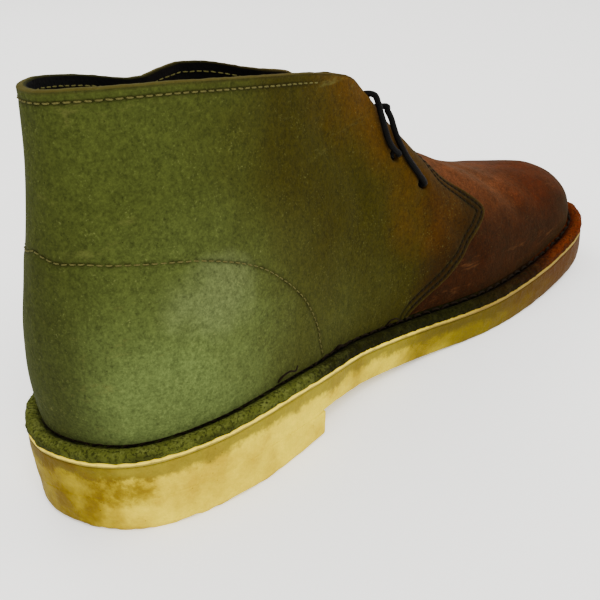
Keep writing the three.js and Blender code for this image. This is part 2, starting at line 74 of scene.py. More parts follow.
# along, outer, inner, topAlong, topHalf, topInner, topHeight, climb, lift, reach, swell
sectionTable = np.array([
    [0.000, 0.000, 0.000, 0.041, 0.000, 0.043, 1.000, 0.9, 0.9, 0.0, 2.5],
    [0.040, 0.220, 0.262, 0.068, 0.125, 0.043, 1.000, 0.9, 0.9, 0.0, 2.5],
    [0.145, 0.337, 0.373, 0.165, 0.225, 0.043, 0.983, 0.9, 0.9, 0.0, 2.0],
    [0.280, 0.350, 0.358, 0.290, 0.230, 0.043, 0.942, 0.9, 0.9, 0.1, 1.5],
    [0.390, 0.380, 0.308, 0.384, 0.190, 0.043, 0.905, 1.0, 0.8, 0.4, 1.0],
    [0.470, 0.415, 0.306, 0.454, 0.155, 0.038, 0.858, 1.1, 0.6, 0.8, 0.5],
    [0.540, 0.458, 0.322, 0.500, 0.145, 0.028, 0.770, 1.2, 0.3, 1.2, 0.5],
    [0.610, 0.490, 0.360, 0.546, 0.120, 0.018, 0.680, 1.4, 0.1, 1.4, 0.5],
    [0.680, 0.508, 0.397, 0.592, 0.000, 0.012, 0.607, 1.5, 0.0, 1.5, 0.5],
    [0.760, 0.497, 0.405, 0.657, 0.000, 0.020, 0.535, 1.6, 0.0, 1.6, 1.0],
    [0.850, 0.440, 0.400, 0.745, 0.000, 0.040, 0.452, 1.7, 0.0, 1.7, 1.0],
    [0.935, 0.305, 0.365, 0.830, 0.000, 0.065, 0.400, 1.8, 0.0, 1.7, 1.0],
    [0.983, 0.115, 0.260, 0.885, 0.000, 0.082, 0.377, 1.8, 0.0, 1.7, 1.0],
    [1.000, -0.090, 0.090, 0.905, 0.000, 0.090, 0.370, 1.8, 0.0, 1.7, 1.0],
])
cornerSection = 5
throatSection = 8
lastSection = len(sectionTable) - 1
throatShare = throatSection / lastSection

# up, share: the quarters' front edge from the flange to the throat
quarterEdge = np.array([
    [0.00, 0.430], [0.12, 0.525], [0.26, 0.592], [0.40, 0.645],
    [0.52, 0.630], [0.64, 0.590], [0.80, 0.590], [1.00, throatShare],
])


# One section's numbers on its own side: lengths are shares times the foot length, ball width or
# collar height, and the slope of the top line is its rise over its run between the neighbours
def sideNumbers(side):
    along, outer, inner, topAlong, topHalf, topInner, topHeight, climb, lift, reach, swell = sectionTable.T
    order = np.arange(lastSection + 1)
    before = np.maximum(order - 1, cornerSection)
    after = np.minimum(order + 1, lastSection)
    run = (topAlong[after] - topAlong[before]) * bootSizes["footLength"]
    rise = (topHeight[after] - topHeight[before]) * bootSizes["collarHeight"]
    slope = np.where(order < cornerSection, 0.0, rise / np.where(run == 0, 1.0, run))
    middle = innerSide * topInner * bootSizes["ballWidth"]
    half = outer if side == outerSide else inner
    return np.stack([
        along * bootSizes["footLength"], side * half * bootSizes["ballWidth"],
        topAlong * bootSizes["footLength"], middle + side * topHalf * bootSizes["ballWidth"],
        topHeight * bootSizes["collarHeight"], middle, climb, lift, reach, swell, slope,
    ], -1)


# Both sides' sections, each with the other side's second section before its first and after its last
sectionNumbers = np.stack([
    np.vstack([sideNumbers(-side)[1:2], sideNumbers(side), sideNumbers(-side)[-2:-1]])
    for side in (innerSide, outerSide)
])


# A smooth curve through four neighbouring values, share of the way from the second to the third
def smoothCurve(before, start, end, after, share):
    return 0.5 * (2 * start + (end - before) * share
                  + (2 * before - 5 * start + 4 * end - after) * share ** 2
                  + (3 * start - before - 3 * end + after) * share ** 3)


# The section at each share from heel to toe, mirrored to the other side past either end
def sectionAt(side, share):
    share = np.asarray(share, float)
    past = (share < 0) | (share > 1)
    ownSide = np.where(past, -side, side)
    place = np.where(share < 0, -share, np.where(share > 1, 2 - share, share)) * lastSection
    index = np.minimum(place.astype(int), lastSection - 1)
    which = (ownSide > 0).astype(int)
    rows = [sectionNumbers[which, index + offset] for offset in range(4)]
    mixed = smoothCurve(*rows, (place - index)[..., None])
    behindThroat = place / lastSection < throatShare
    half = np.where(behindThroat, np.maximum((mixed[..., 3] - mixed[..., 5]) * ownSide, 0), 0)
    mixed[..., 3] = mixed[..., 5] + ownSide * half
    drop = bootSizes["outerCollarDrop"] * half / (bootSizes["collarHalf"] * bootSizes["ballWidth"])
    mixed[..., 4] -= np.where(ownSide == outerSide, drop, 0)
    return mixed


# An eased share of the way from start to end: three squares less two cubes
def easeBetween(value, start, end):
    share = np.clip((value - start) / (end - start), 0, 1)
    return share * share * (3 - 2 * share)


# The sole's top: the heel seat, eased down to the ball, then up to the toe by a power of the way
def seatHeight(along):
    fall = easeBetween(along, *bootSizes["seatFall"])
    start = bootSizes["springStart"]
    spring = np.maximum(0, (along - start) / (bootSizes["footLength"] - start))
    drop = bootSizes["ballSeat"] - bootSizes["heelSeat"]
    return bootSizes["heelSeat"] + drop * fall + bootSizes["toeSpring"] * spring ** bootSizes["springPower"]


# Each vector over its own length
def unit(vectors):
    return vectors / np.maximum(np.linalg.norm(vectors, axis=-1, keepdims=True), 1e-9)


# The direction in plan that points out of the foot: the outline's own direction, turned a quarter
def outwardAt(side, share):
    step = 0.001
    change = sectionAt(side, share + step) - sectionAt(side, share - step)
    return unit(np.stack([-side * change[..., 1], side * change[..., 0], 0 * change[..., 0]], -1))


# A point of the sole's outline, moved outwards and up from the feather line
def edgePoint(side, share, outset, lift):
    row = sectionAt(side, share)
    outward = outwardAt(side, share)
    return np.stack([row[..., 0] + outward[..., 0] * outset, row[..., 1] + outward[..., 1] * outset,
                     seatHeight(row[..., 0]) + lift], -1)


# The skin: a cubic curve from the feather line to the section's top, that leaves upright and arrives
# along the last, rounded outwards by its swell
def skinPoint(side, share, up):
    share, up = np.broadcast_arrays(np.asarray(share, float), np.asarray(up, float))
    row = sectionAt(side, share)
    x, y, topX, topY, topZ, _, climb, lift, reach, swell, slope = np.moveaxis(row, -1, 0)
    foot = np.stack([x, y, seatHeight(x) + bootSizes["flangeThickness"]], -1)
    top = np.stack([topX, topY, topZ], -1)
    across = top - foot
    height = across[..., 2]
    leave = np.stack([0 * height, 0 * height, height * climb], -1)
    arrive = np.stack([across[..., 0] * reach, across[..., 1] * reach,
                       height * lift + slope * across[..., 0] * reach], -1)
    t = up[..., None]
    point = foot * (2 * t ** 3 - 3 * t ** 2 + 1) + leave * (t ** 3 - 2 * t ** 2 + t)
    point = point + top * (3 * t ** 2 - 2 * t ** 3) + arrive * (t ** 3 - t ** 2)
    return point + 6.75 * t * (1 - t) ** 2 * swell[..., None] * outwardAt(side, share)


# The skin's normal: the cross product of its directions along and up
def skinNormalOneSide(side, share, up):
    step = 0.004
    along = skinPoint(side, share + step, up) - skinPoint(side, share - step, up)
    climb = skinPoint(side, share, np.minimum(up + step, 1)) - skinPoint(side, share, up - step)
    return unit(np.cross(along, climb) * -side)


# On the ridge in front of the throat both sides share one normal
def skinNormal(side, share, up):
    share, up = np.broadcast_arrays(np.asarray(share, float), np.asarray(up, float))
    own = skinNormalOneSide(side, share, up)
    ridge = ((share >= throatShare) & (up > 0.999))[..., None]
    return np.where(ridge, unit(own + skinNormalOneSide(-side, share, up)), own)


# The quarters' front edge at a height
def edgeShare(up):
    place = np.clip(np.searchsorted(quarterEdge[:, 0], up, side="right") - 1, 0, len(quarterEdge) - 2)
    start, end = quarterEdge[place], quarterEdge[place + 1]
    before = quarterEdge[np.maximum(place - 1, 0)]
    after = quarterEdge[np.minimum(place + 2, len(quarterEdge) - 1)]
    share = (up - start[..., 0]) / (end[..., 0] - start[..., 0])
    return smoothCurve(before[..., 1], start[..., 1], end[..., 1], after[..., 1], share)


# The shortest distance from each point to a line of points
def distanceTo(points, line):
    flat = points.reshape(-1, 3)
    found = np.empty(len(flat))
    for start in range(0, len(flat), 4000):
        part = flat[start:start + 4000]
        found[start:start + 4000] = np.sqrt(((part[:, None] - line[None]) ** 2).sum(-1)).min(1)
    return found.reshape(points.shape[:-1])


# Points at even steps along a line, and how far along each is
def evenAlong(points, spacing):
    reach = np.concatenate([[0], np.cumsum(np.linalg.norm(np.diff(points, axis=0), axis=1))])
    count = max(int(round(reach[-1] / spacing)), 1)
    places = (np.arange(count) + 0.5) * reach[-1] / count
    return np.stack([np.interp(places, reach, points[:, axis]) for axis in range(3)], -1), places


# A curve through given points: each stretch is a smooth curve of its four neighbours
def smoothLine(points, steps):
    points = np.asarray(points, float)
    padded = np.vstack([2 * points[0] - points[1], points, 2 * points[-1] - points[-2]])
    place = np.linspace(0, len(points) - 1, steps)
    index = np.minimum(place.astype(int), len(points) - 2)
    share = (place - index)[:, None]
    return smoothCurve(padded[index], padded[index + 1], padded[index + 2], padded[index + 3], share)


# Slow waves through space: the mean of sines along random directions
def waves(points, wavelength, seed, count=7):
    source = np.random.default_rng(seed)
    directions = unit(source.normal(size=(count, 3))) * (2 * np.pi / wavelength)
    directions *= source.uniform(0.6, 1.5, (count, 1))
    phases = source.uniform(0, 2 * np.pi, count)
    return np.sin(points @ directions.T + phases).mean(-1) * 1.6


# Creases and dents

creaseTable = [
    # side, places (share, up), width and depth in millimetres; a negative depth is a ridge
    (innerSide, [(0.50, 0.47), (0.56, 0.33), (0.60, 0.17)], 9.0, 0.9),
    (innerSide, [(0.44, 0.52), (0.49, 0.36), (0.51, 0.20)], 11.0, 0.7),
    (innerSide, [(0.30, 0.78), (0.34, 0.62), (0.35, 0.45)], 13.0, 0.9),
    (innerSide, [(0.16, 0.86), (0.19, 0.66), (0.18, 0.52)], 15.0, 0.8),
    (innerSide, [(0.09, 0.50), (0.15, 0.42), (0.21, 0.24)], 10.0, -0.5),
    (innerSide, [(0.74, 0.98), (0.72, 0.72), (0.73, 0.40)], 9.0, 0.8),
    (innerSide, [(0.68, 0.97), (0.67, 0.75), (0.69, 0.45)], 7.0, -0.4),
    (outerSide, [(0.48, 0.50), (0.55, 0.36), (0.60, 0.20)], 9.0, 1.0),
    (outerSide, [(0.42, 0.56), (0.46, 0.38), (0.48, 0.20)], 12.0, 0.8),
    (outerSide, [(0.26, 0.80), (0.30, 0.62), (0.31, 0.44)], 14.0, 1.0),
    (outerSide, [(0.74, 0.98), (0.71, 0.72), (0.72, 0.42)], 9.0, 0.9),
    (outerSide, [(0.10, 0.88), (0.13, 0.66), (0.12, 0.52)], 15.0, 0.8),
]

counterLine = [
    (0.000, 0.570), (0.035, 0.550), (0.063, 0.550), (0.110, 0.530), (0.154, 0.500), (0.192, 0.440),
    (0.217, 0.360), (0.235, 0.280), (0.244, 0.215), (0.252, 0.135), (0.254, 0.075), (0.258, 0.015),
]


# A line on the skin through given places, as points and as places
def skinLine(side, places, steps=160, lift=0.0):
    flat = smoothLine([(share, up, 0) for share, up in places], steps)
    share, up = np.maximum(flat[:, 0], 0), np.clip(flat[:, 1], 0, 1)
    points = skinPoint(side, share, up) + skinNormal(side, share, up) * lift
    return points, share, up


creaseLines = [(skinLine(side, places, 60)[0], width, depth) for side, places, width, depth in creaseTable]
counterPoints = np.vstack([skinLine(side, counterLine, 120)[0] for side in (innerSide, outerSide)])
eyelets = {"top": (0.463, 0.68), "bottom": (0.513, 0.56)}
eyeletRadius = 2.2


# How far the worn wall lies off the skin: slow waves, less each crease's bell curve
def wornLift(points, up):
    worn = 0.35 * waves(points, 55, 11) + 0.12 * waves(points, 19, 12)
    for line, width, depth in creaseLines:
        worn -= depth * np.exp(-(distanceTo(points, line) / width * 2) ** 2)
    return worn * easeBetween(up, 0.0, 0.12)


# The outer side's collar edge rises and sinks: share along the edge, rise in millimetres
collarRise = np.array([
    [0.00, 0.0], [0.05, 1.6], [0.09, 2.9], [0.11, 2.5], [0.135, 1.4], [0.16, -0.4], [0.18, -1.9],
    [0.195, -1.2], [0.21, 1.4], [0.23, 3.8], [0.25, 3.9], [0.265, 3.4], [0.30, 1.2], [0.33, 0.6],
    [0.38, 1.2], [0.45, 0.4], [0.52, 0.0],
])


# The collar's wave: the outer side's rise, and slow sines on the inner side, both eased in up the wall
def collarWave(side, share, up):
    ripple = np.sin(share * 38 + 1.2) * 0.6 + np.sin(share * 71 + 0.4) * 0.4
    ends = easeBetween(share, 0.0, 0.08) * (1 - easeBetween(share, 0.40, 0.50))
    rise = np.interp(share, collarRise[:, 0], collarRise[:, 1]) if side == outerSide else 0.5 * ripple * ends
    return rise * easeBetween(up, 0.70, 1.0)


# A point of the worn wall
def wallPoint(side, share, up, lift=0.0):
    share, up = np.broadcast_arrays(np.asarray(share, float), np.asarray(up, float))
    points = skinPoint(side, share, up)
    wave = collarWave(side, share, up)
    outward = wornLift(points, up) + wave * (0.5 if side == outerSide else 1.0)
    points = points + skinNormal(side, share, up) * (outward + lift)[..., None]
    points[..., 2] += wave * (0.75 if side == outerSide else 0.0)
    return points


# Meshes

# Collects grids of points, each with its facts, welds the points that coincide and makes the mesh
class Surface:
    def __init__(self):
        self.points = []
        self.faces = []
        self.facts = {}
        self.count = 0

    # A grid's faces join each point with the next along its row and the next row
    def addGrid(self, points, facts=None, flip=False, closed=False):
        rows, columns = points.shape[:2]
        index = self.count + np.arange(rows * columns).reshape(rows, columns)
        if closed:
            index = np.concatenate([index, index[:, :1]], 1)
        quads = np.stack([index[:-1, :-1], index[1:, :-1], index[1:, 1:], index[:-1, 1:]], -1).reshape(-1, 4)
        self.faces.append(quads[:, ::-1] if flip else quads)
        self.addPoints(points.reshape(-1, 3), facts or {})

    # A fact that a part doesn't name is nought on it
    def addPoints(self, points, facts):
        for name in set(self.facts) | set(facts):
            known = self.facts.setdefault(name, [np.zeros(len(part)) for part in self.points])
            values = np.asarray(facts.get(name, 0.0), float)
            values = values.reshape(-1) if values.ndim else values
            known.append(np.broadcast_to(values, (len(points),)).copy())
        self.points.append(points)
        self.count += len(points)

    # Copies of one closed template, as flat arrays: copies x points x 3
    def addCopies(self, points, quads, facts=None):
        copies, size = points.shape[:2]
        offsets = self.count + np.arange(copies)[:, None, None] * size
        self.faces.append((quads[None] + offsets).reshape(-1, 4))
        self.addPoints(points.reshape(-1, 3), facts or {})

    # The mesh: points that coincide become one, and a face that loses a corner becomes a triangle
    def build(self, name, weld=True):
        points = np.vstack(self.points)
        faces = np.vstack(self.faces)
        facts = {key: np.concatenate(values) for key, values in self.facts.items()}
        if weld:
            rounded = np.round(points, 4)
            _, first, inverse = np.unique(rounded, axis=0, return_index=True, return_inverse=True)
            inverse = inverse.reshape(-1)
            points = points[first]
            facts = {key: values[first] for key, values in facts.items()}
            faces = inverse[faces]
        same = np.stack([faces[:, corner] == faces[:, (corner + 1) % 4] for corner in range(4)], -1)
        keep = ~(same.sum(1) > 1) & (faces[:, 0] != faces[:, 2]) & (faces[:, 1] != faces[:, 3])
        faces, same = faces[keep], same[keep]
        mesh = bpy.data.meshes.new(name)
        corners = faces.reshape(-1)[~same.reshape(-1)]
        sizes = 4 - same.sum(1)
        starts = np.concatenate([[0], np.cumsum(sizes)[:-1]])
        mesh.vertices.add(len(points))
        placed = (points + frameShift) * metresPerMillimetre
        mesh.vertices.foreach_set("co", placed.astype(np.float32).ravel())
        mesh.loops.add(len(corners))
        mesh.loops.foreach_set("vertex_index", corners.astype(np.int32))
        mesh.polygons.add(len(faces))
        mesh.polygons.foreach_set("loop_start", starts.astype(np.int32))
        mesh.polygons.foreach_set("loop_total", sizes.astype(np.int32))
        mesh.update(calc_edges=True)
        mesh.validate()
        mesh.polygons.foreach_set("use_smooth", np.full(len(mesh.polygons), True))
        for key, values in facts.items():
            mesh.attributes.new(key, "FLOAT", "POINT").data.foreach_set("value", values.astype(np.float32))
        made = bpy.data.objects.new(name, mesh)
        bpy.context.scene.collection.objects.link(made)
        return made


# Puts a finished piece in the frame with its material, and hides the nodes that it stands for
def place(piece, material, slot, nodes=()):
    piece.data.materials.append(material)
    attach(piece, "root")
    if nodes:
        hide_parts(*nodes)
    return piece


# Facts for a tube's braid or twist: how far along and how far round each point is
def tubeFacts(run, angle):
    shape = (len(run), len(angle))
    return {"run": np.broadcast_to(run[:, None], shape), "around": np.broadcast_to(angle[None], shape)}


# The faces of one short tube, for copies: its rings by its sides, each ring closed on itself
def tubeQuads(rings, sides):
    index = np.arange(rings * sides).reshape(rings, sides)
    index = np.concatenate([index, index[:, :1]], 1)
    return np.stack([index[:-1, :-1], index[1:, :-1], index[1:, 1:], index[:-1, 1:]], -1).reshape(-1, 4)


# A tube along a line: rings of points square to it. The rings turn with the line by keeping each
# ring's first direction as close as it can be to the one before
def tubeGrid(line, radius, sides):
    tangents = unit(np.gradient(line, axis=0))
    first = unit(np.cross(tangents[0], [0.31, 0.22, 0.92]))
    directions = [first]
    for tangent in tangents[1:]:
        directions.append(unit(directions[-1] - tangent * (directions[-1] @ tangent)))
    directions = np.array(directions)
    other = np.cross(tangents, directions)
    angle = np.linspace(0, 2 * np.pi, sides, endpoint=False)
    ring = (np.cos(angle)[None, :, None] * directions[:, None]
            + np.sin(angle)[None, :, None] * other[:, None])
    reach = np.concatenate([[0], np.cumsum(np.linalg.norm(np.diff(line, axis=0), axis=1))])
    size = np.broadcast_to(np.asarray(radius, float), (len(line),))
    return line[:, None] + ring * size[:, None, None], reach, angle


# Materials

# A socket that takes part in arithmetic. Each operator adds one math node.
class Wire:
    def __init__(self, shader, socket):
        self.shader = shader
        self.socket = socket

    def math(self, operation, *others, flipped=False):
        settings = {"operation": operation.upper()}
        operands = [self, *others][::-1] if flipped else [self, *others]
        return self.shader.wire("Math", 0, settings, dict(enumerate(operands)))

    def __add__(self, other):
        return self.math("add", other)

    def __sub__(self, other):
        return self.math("subtract", other)

    def __mul__(self, other):
        return self.math("multiply", other)

    def __pow__(self, other):
        return self.math("power", other)

    def __rsub__(self, other):
        return self.math("subtract", other, flipped=True)

    __radd__ = __add__
    __rmul__ = __mul__

    # The value without its sign
    def size(self):
        return self.math("absolute")

    # Nought at start, one at end, eased between. start may be above end.
    def ease(self, start, end):
        settings = {"interpolation_type": "SMOOTHSTEP"}
        inputs = {"Value": self, "From Min": min(start, end), "From Max": max(start, end)}
        eased = self.shader.wire("MapRange", 0, settings, inputs)
        return eased if start < end else 1.0 - eased


# A material's node tree
class Shader:
    def __init__(self, name):
        self.material = bpy.data.materials.new(name)
        self.material.use_nodes = True
        self.tree = self.material.node_tree
        self.tree.nodes.clear()
        self.place = self.wire("TexCoord", "Object")
        apart = self.node("SeparateXYZ", inputs={0: self.place})
        self.x, self.y, self.z = (Wire(self, apart.outputs[axis]) for axis in range(3))

    # Any node: its type, its settings, and its inputs by name or number
    def node(self, kind, settings=None, inputs=None):
        made = self.tree.nodes.new("ShaderNode" + kind)
        for key, value in (settings or {}).items():
            setattr(made, key, value)
        for key, value in (inputs or {}).items():
            if isinstance(value, Wire):
                self.tree.links.new(value.socket, made.inputs[key])
            else:
                made.inputs[key].default_value = value
        return made

    # The same, but one of its outputs, to go on with
    def wire(self, kind, output, settings=None, inputs=None):
        return Wire(self, self.node(kind, settings, inputs).outputs[output])

    # A value that the mesh holds at each point
    def fact(self, name):
        return self.wire("Attribute", "Fac", {"attribute_name": name})

    # The place stretched by a share along each axis, for streaks
    def stretched(self, x, y, z):
        return self.wire("VectorMath", 0, {"operation": "MULTIPLY"}, {0: self.place, 1: (x, y, z)})

    # Clouds: scale is how many there are in a metre, and each further layer of detail is half as wide
    def noise(self, scale, detail=3.0, roughness=0.55, vector=None, warp=0.0):
        inputs = {"Vector": vector or self.place, "Scale": scale, "Detail": detail,
                  "Roughness": roughness, "Distortion": warp}
        return self.wire("TexNoise", "Fac", None, inputs)

    # The distance from the nearest of scattered points
    def cells(self, scale):
        return self.wire("TexVoronoi", "Distance", None, {"Vector": self.place, "Scale": scale})

    # One color, with a share of the second laid over it
    def mix(self, share, first, second, blend="MIX"):
        settings = {"data_type": "RGBA", "blend_type": blend}
        return self.wire("Mix", 2, settings, {0: share, 6: colour(first), 7: colour(second)})

    # A color times one value
    def shaded(self, color, value):
        gray = self.wire("CombineXYZ", 0, None, {0: value, 1: value, 2: value})
        return self.mix(1.0, color, gray, "MULTIPLY")

    # Bumps stacked on each other: (height, strength, distance in metres) each
    def bumps(self, layers):
        normal = None
        for height, strength, distance in layers:
            inputs = {"Height": height, "Strength": strength, "Distance": distance}
            if normal is not None:
                inputs["Normal"] = normal
            normal = self.wire("Bump", 0, None, inputs)
        return normal

    # The surface's own shader. Constants are set straight on its sockets
    def finish(self, color, roughness, normal, constants=None):
        inputs = {"Base Color": colour(color), "Roughness": roughness, "Normal": normal, **(constants or {})}
        surface = self.wire("BsdfPrincipled", 0, None, inputs)
        self.node("OutputMaterial", inputs={"Surface": surface})
        return self.material


# A color with its alpha, or a wire as it is
def colour(value):
    return value if isinstance(value, Wire) else (*value, 1.0)


suedeLook = {
    "heelGreen": (0.060, 0.082, 0.021),
    "heelPatchHighlight": (0.100, 0.140, 0.040),
    "sideGreen": (0.0295, 0.0370, 0.0062),
    "olive": (0.0180, 0.0150, 0.0004),
    "rust": (0.048, 0.0165, 0.0003),
    "darkBrown": (0.012, 0.0034, 0.0001),
    "redBrown": (0.060, 0.0165, 0.0050),
    "redDeep": (0.046, 0.0055, 0.0001),
    "vampSideShade": (0.0095, 0.0016, 0.0001),
    "edgeShade": (0.012, 0.013, 0.0012),
    "speckPale": (0.120, 0.130, 0.040),
    "speckDark": (0.004, 0.004, 0.0004),
    "seamShadeAndLiningDark": (0.0040, 0.0030, 0.0003),
    "cutTan": (0.046, 0.033, 0.0060),
    "heelSpotHighlight": (0.170, 0.205, 0.090),
    "greenScratch": (0.095, 0.095, 0.024),
    "redScratch": (0.130, 0.045, 0.014),
}


# Worn suede: colour by place from the heel to the toe, with painted shade round the back and low on the vamp
# and a painted highlight on the heel, soft brushed patches, fine nap and pinholes
def suedeMaterial(name, depth=1.0):
    shader = Shader(name)
    x, y, z = shader.x, shader.y, shader.z
    look = suedeLook
    drift = shader.noise(16.0, 4.0, 0.6) - 0.5
    blotch = shader.noise(55.0, 3.0, 0.6) - 0.5
    along = x + drift * 0.050 + blotch * 0.016
    high = z + drift * 0.045
    # green behind, olive and brown forward
    green = shader.mix(high.ease(0.050, 0.088), look["heelGreen"], look["sideGreen"])
    tone = shader.mix((along - z * 0.12).ease(-0.119, -0.068), green, look["olive"])
    lowGreen = (0.062 - high).ease(-0.012, 0.026) * (along.ease(0.006, -0.060))
    tone = shader.mix(lowGreen * 0.22, tone, look["heelGreen"])
    facing = (along + (z - 0.10) * 0.45).ease(-0.036, 0.008) * z.ease(0.066, 0.094)
    tone = shader.mix(facing * 0.85, tone, look["rust"])
    tone = shader.mix(along.ease(0.002, 0.026) * 0.90, tone, look["darkBrown"])
    # the quarter's front corner glows a little
    corner = (1.0 - ((x - 0.018) * 34.0) ** 2.0 - ((z - 0.064) * 40.0) ** 2.0).ease(0.0, 0.9)
    tone = shader.mix(corner * (0.42 + blotch), tone, look["rust"])
    # the vamp, redder on top and towards the toe, and darker low on its side by painted shade
    vamp = shader.fact("vamp")
    red = shader.mix((x + drift * 0.04).ease(0.06, 0.11), look["redBrown"], look["redDeep"])
    tone = shader.mix(vamp, tone, red)
    # painted shade low on the vamp's side, under its lit top
    low = (0.062 - z - x * 0.10 + blotch * 0.020).ease(-0.011, 0.018)
    tone = shader.mix(vamp * low * 0.90, tone, look["vampSideShade"])
    # the heel's pale patch and the brighter spot in it, both painted highlight, and painted shade round the
    # back
    paleShape = 1.0 - ((x + 0.096) * 17.0) ** 2.0 - ((z - 0.070) * 24.0) ** 2.0
    pale = (paleShape + drift * 1.2).ease(0.0, 1.1)
    tone = shader.mix(pale * 0.12, tone, look["heelPatchHighlight"])
    # a brighter spot in the middle of the patch, also painted highlight
    spotShape = 1.0 - ((x + 0.099) * 44.0) ** 2.0 - ((z - 0.073) * 60.0) ** 2.0
    spot = (spotShape + blotch * 1.6).ease(0.0, 1.0)
    tone = shader.mix(spot * 0.17, tone, look["heelSpotHighlight"])
    # painted shade along the back edge, strongest low down
    back = (-0.126 - x - y.size() * 0.5 + drift * 0.018).ease(-0.012, 0.014)
    back = back * (1.0 - z.ease(0.05, 0.12) * 0.5)
    tone = shader.mix(back * 0.80, tone, look["edgeShade"])
    # fine nap, coarser on the vamp, with pale specks and pinholes
    streak = shader.noise(330.0, 4.0, 0.70, shader.stretched(1.0, 1.0, 0.75))
    grain = shader.noise(1300.0, 3.0, 0.70)
    nap = shader.noise(690.0, 4.0, 0.75)
    value = (streak * 0.90 + nap * 1.70 + grain * 1.20 - 0.90).math("maximum", 0.10)
    vein = shader.noise(120.0, 4.0, 0.70, shader.stretched(0.5, 1.0, 1.0))
    value = value * (1.0 + vamp * (vein * 1.40 - 0.70))
    tone = shader.shaded(tone, value)
    specks = grain.ease(0.60, 0.70) * shader.noise(140.0, 3.0, 0.6).ease(0.44, 0.62)
    tone = shader.mix(specks * 0.42 * (1.0 - vamp * 0.7), tone, look["speckPale"])
    pits = shader.cells(620.0).ease(0.16, 0.04) * shader.noise(95.0, 3.0, 0.7).ease(0.46, 0.60)
    tone = shader.mix(pits * 0.86, tone, look["speckDark"])
    # long soft scratches
    scratch = shader.noise(95.0, 5.0, 0.80, shader.stretched(0.22, 1.0, 1.5), 0.4)
    rubbed = scratch.ease(0.57, 0.70) * shader.noise(17.0, 2.0).ease(0.47, 0.62)
    tone = shader.mix(rubbed * 0.30, tone, shader.mix(vamp, look["greenScratch"], look["redScratch"]))
    # painted shade along each row, where the thread draws the suede in, and in the lace holes; the same dark
    # gives the rim's inner part the lining's own colour and darkens the tongue a little
    tone = shader.mix(shader.fact("seam") * 0.88, tone, look["seamShadeAndLiningDark"])
    tone = shader.mix(shader.fact("cut") * 0.85, tone, look["cutTan"])
    normal = shader.bumps([
        (blotch, 0.30 * depth, 0.0030),
        (streak, 0.55 * depth, 0.0007),
        (grain, 0.50 * depth, 0.0003),
    ])
    return shader.finish(tone, 0.96 - grain * 0.08, normal, {
        "Specular IOR Level": 0.03,
        "Sheen Weight": 0.03,
        "Sheen Roughness": 0.60,
        "Sheen Tint": (0.60, 0.62, 0.25, 1.0),
    })


flangeColors = {
    "heel": (0.052, 0.060, 0.0075),
    "waist": (0.0080, 0.0078, 0.0005),
    "front": (0.0125, 0.0035, 0.0003),
    "toe": (0.080, 0.0120, 0.0003),
    "lint": (0.120, 0.135, 0.030),
    "pit": (0.0030, 0.0034, 0.0006),
    "hollowShade": (0.0036, 0.0040, 0.0006),
    "groove": (0.0010, 0.0010, 0.0005),
}


# The flange: darker, coarser suede with the fibres of its cut edge, going red-brown to the toe, with painted
# shade in its groove and hollows
def flangeMaterial():
    shader = Shader("flangeSuede")
    look = flangeColors
    fine = shader.noise(900.0, 3.0, 0.7)
    clumps = shader.noise(240.0, 4.0, 0.7, warp=0.5)
    slow = shader.noise(70.0, 3.0, 0.6)
    along = shader.x + (clumps - 0.5) * 0.03 + (slow - 0.5) * 0.03
    tone = shader.mix(along.ease(-0.082, -0.046), look["heel"], look["waist"])
    tone = shader.mix(along.ease(0.020, 0.075), tone, look["front"])
    tone = shader.mix(along.ease(0.075, 0.110), tone, look["toe"])
    ridge = shader.fact("ridge")
    lint = (clumps * 0.7 + fine * 0.3).ease(0.46, 0.62)
    linty = lint * (0.22 + ridge * 0.26) * (1.0 - along.ease(-0.075, -0.020) * 0.9)
    tone = shader.mix(linty, tone, look["lint"])
    tone = shader.mix(fine.ease(0.52, 0.36) * 0.7, tone, look["pit"])
    # painted shade in the hollows off the flange's ridge
    tone = shader.mix((1.0 - ridge) * slow.ease(0.40, 0.60) * 0.55, tone, look["hollowShade"])
    # painted shade: the groove between the wall and the flange is darkened nearly to black
    tone = shader.mix(shader.fact("groove") * 0.95, tone, look["groove"])
    normal = shader.bumps([(clumps, 0.9, 0.0014), (fine, 0.8, 0.0006)])
    return shader.finish(tone, 0.96 - fine * 0.05, normal, {"Specular IOR Level": 0.04})


# Black lining leather: small pores and slow wear
def liningMaterial():
    shader = Shader("liningLeather")
    pores = shader.cells(900.0)
    wear = shader.noise(40.0, 4.0, 0.6)
    tone = shader.mix(wear.ease(0.42, 0.72), (0.0006, 0.0006, 0.0006), (0.0030, 0.0024, 0.0020))
    normal = shader.bumps([(pores, 0.25, 0.0003), (wear, 0.2, 0.002)])
    return shader.finish(tone, 0.55 + wear * 0.2, normal, {"Specular IOR Level": 0.05})


# Tan insole leather with darker foot wear
def insoleMaterial():
    shader = Shader("insoleLeather")
    grain = shader.noise(500.0, 3.0, 0.6)
    wear = shader.noise(25.0, 4.0, 0.6)
    tone = shader.mix(wear.ease(0.35, 0.70), (0.215, 0.130, 0.055), (0.100, 0.056, 0.022))
    tone = shader.mix(grain.ease(0.55, 0.75) * 0.3, tone, (0.10, 0.06, 0.03))
    normal = shader.bumps([(grain, 0.3, 0.0004)])
    return shader.finish(tone, 0.6 + wear * 0.2, normal, {"Specular IOR Level": 0.3})


crepeLook = {
    "clean": (0.43, 0.305, 0.0002),
    "bright": (0.63, 0.485, 0.0012),
    "deep": (0.30, 0.170, 0.0008),
    "stain": (0.085, 0.045, 0.0004),
    "gray": (0.098, 0.082, 0.0100),
    "forefootDirtAndShade": (0.050, 0.034, 0.0008),
    "toe": (0.045, 0.0130, 0.0003),
    "backShadeAndDirt": (0.048, 0.026, 0.0003),
    "grit": (0.060, 0.030, 0.0020),
    "paleLayer": (0.72, 0.54, 0.008),
    "paleDirt": (0.26, 0.165, 0.003),
    "paleToe": (0.115, 0.062, 0.0020),
}


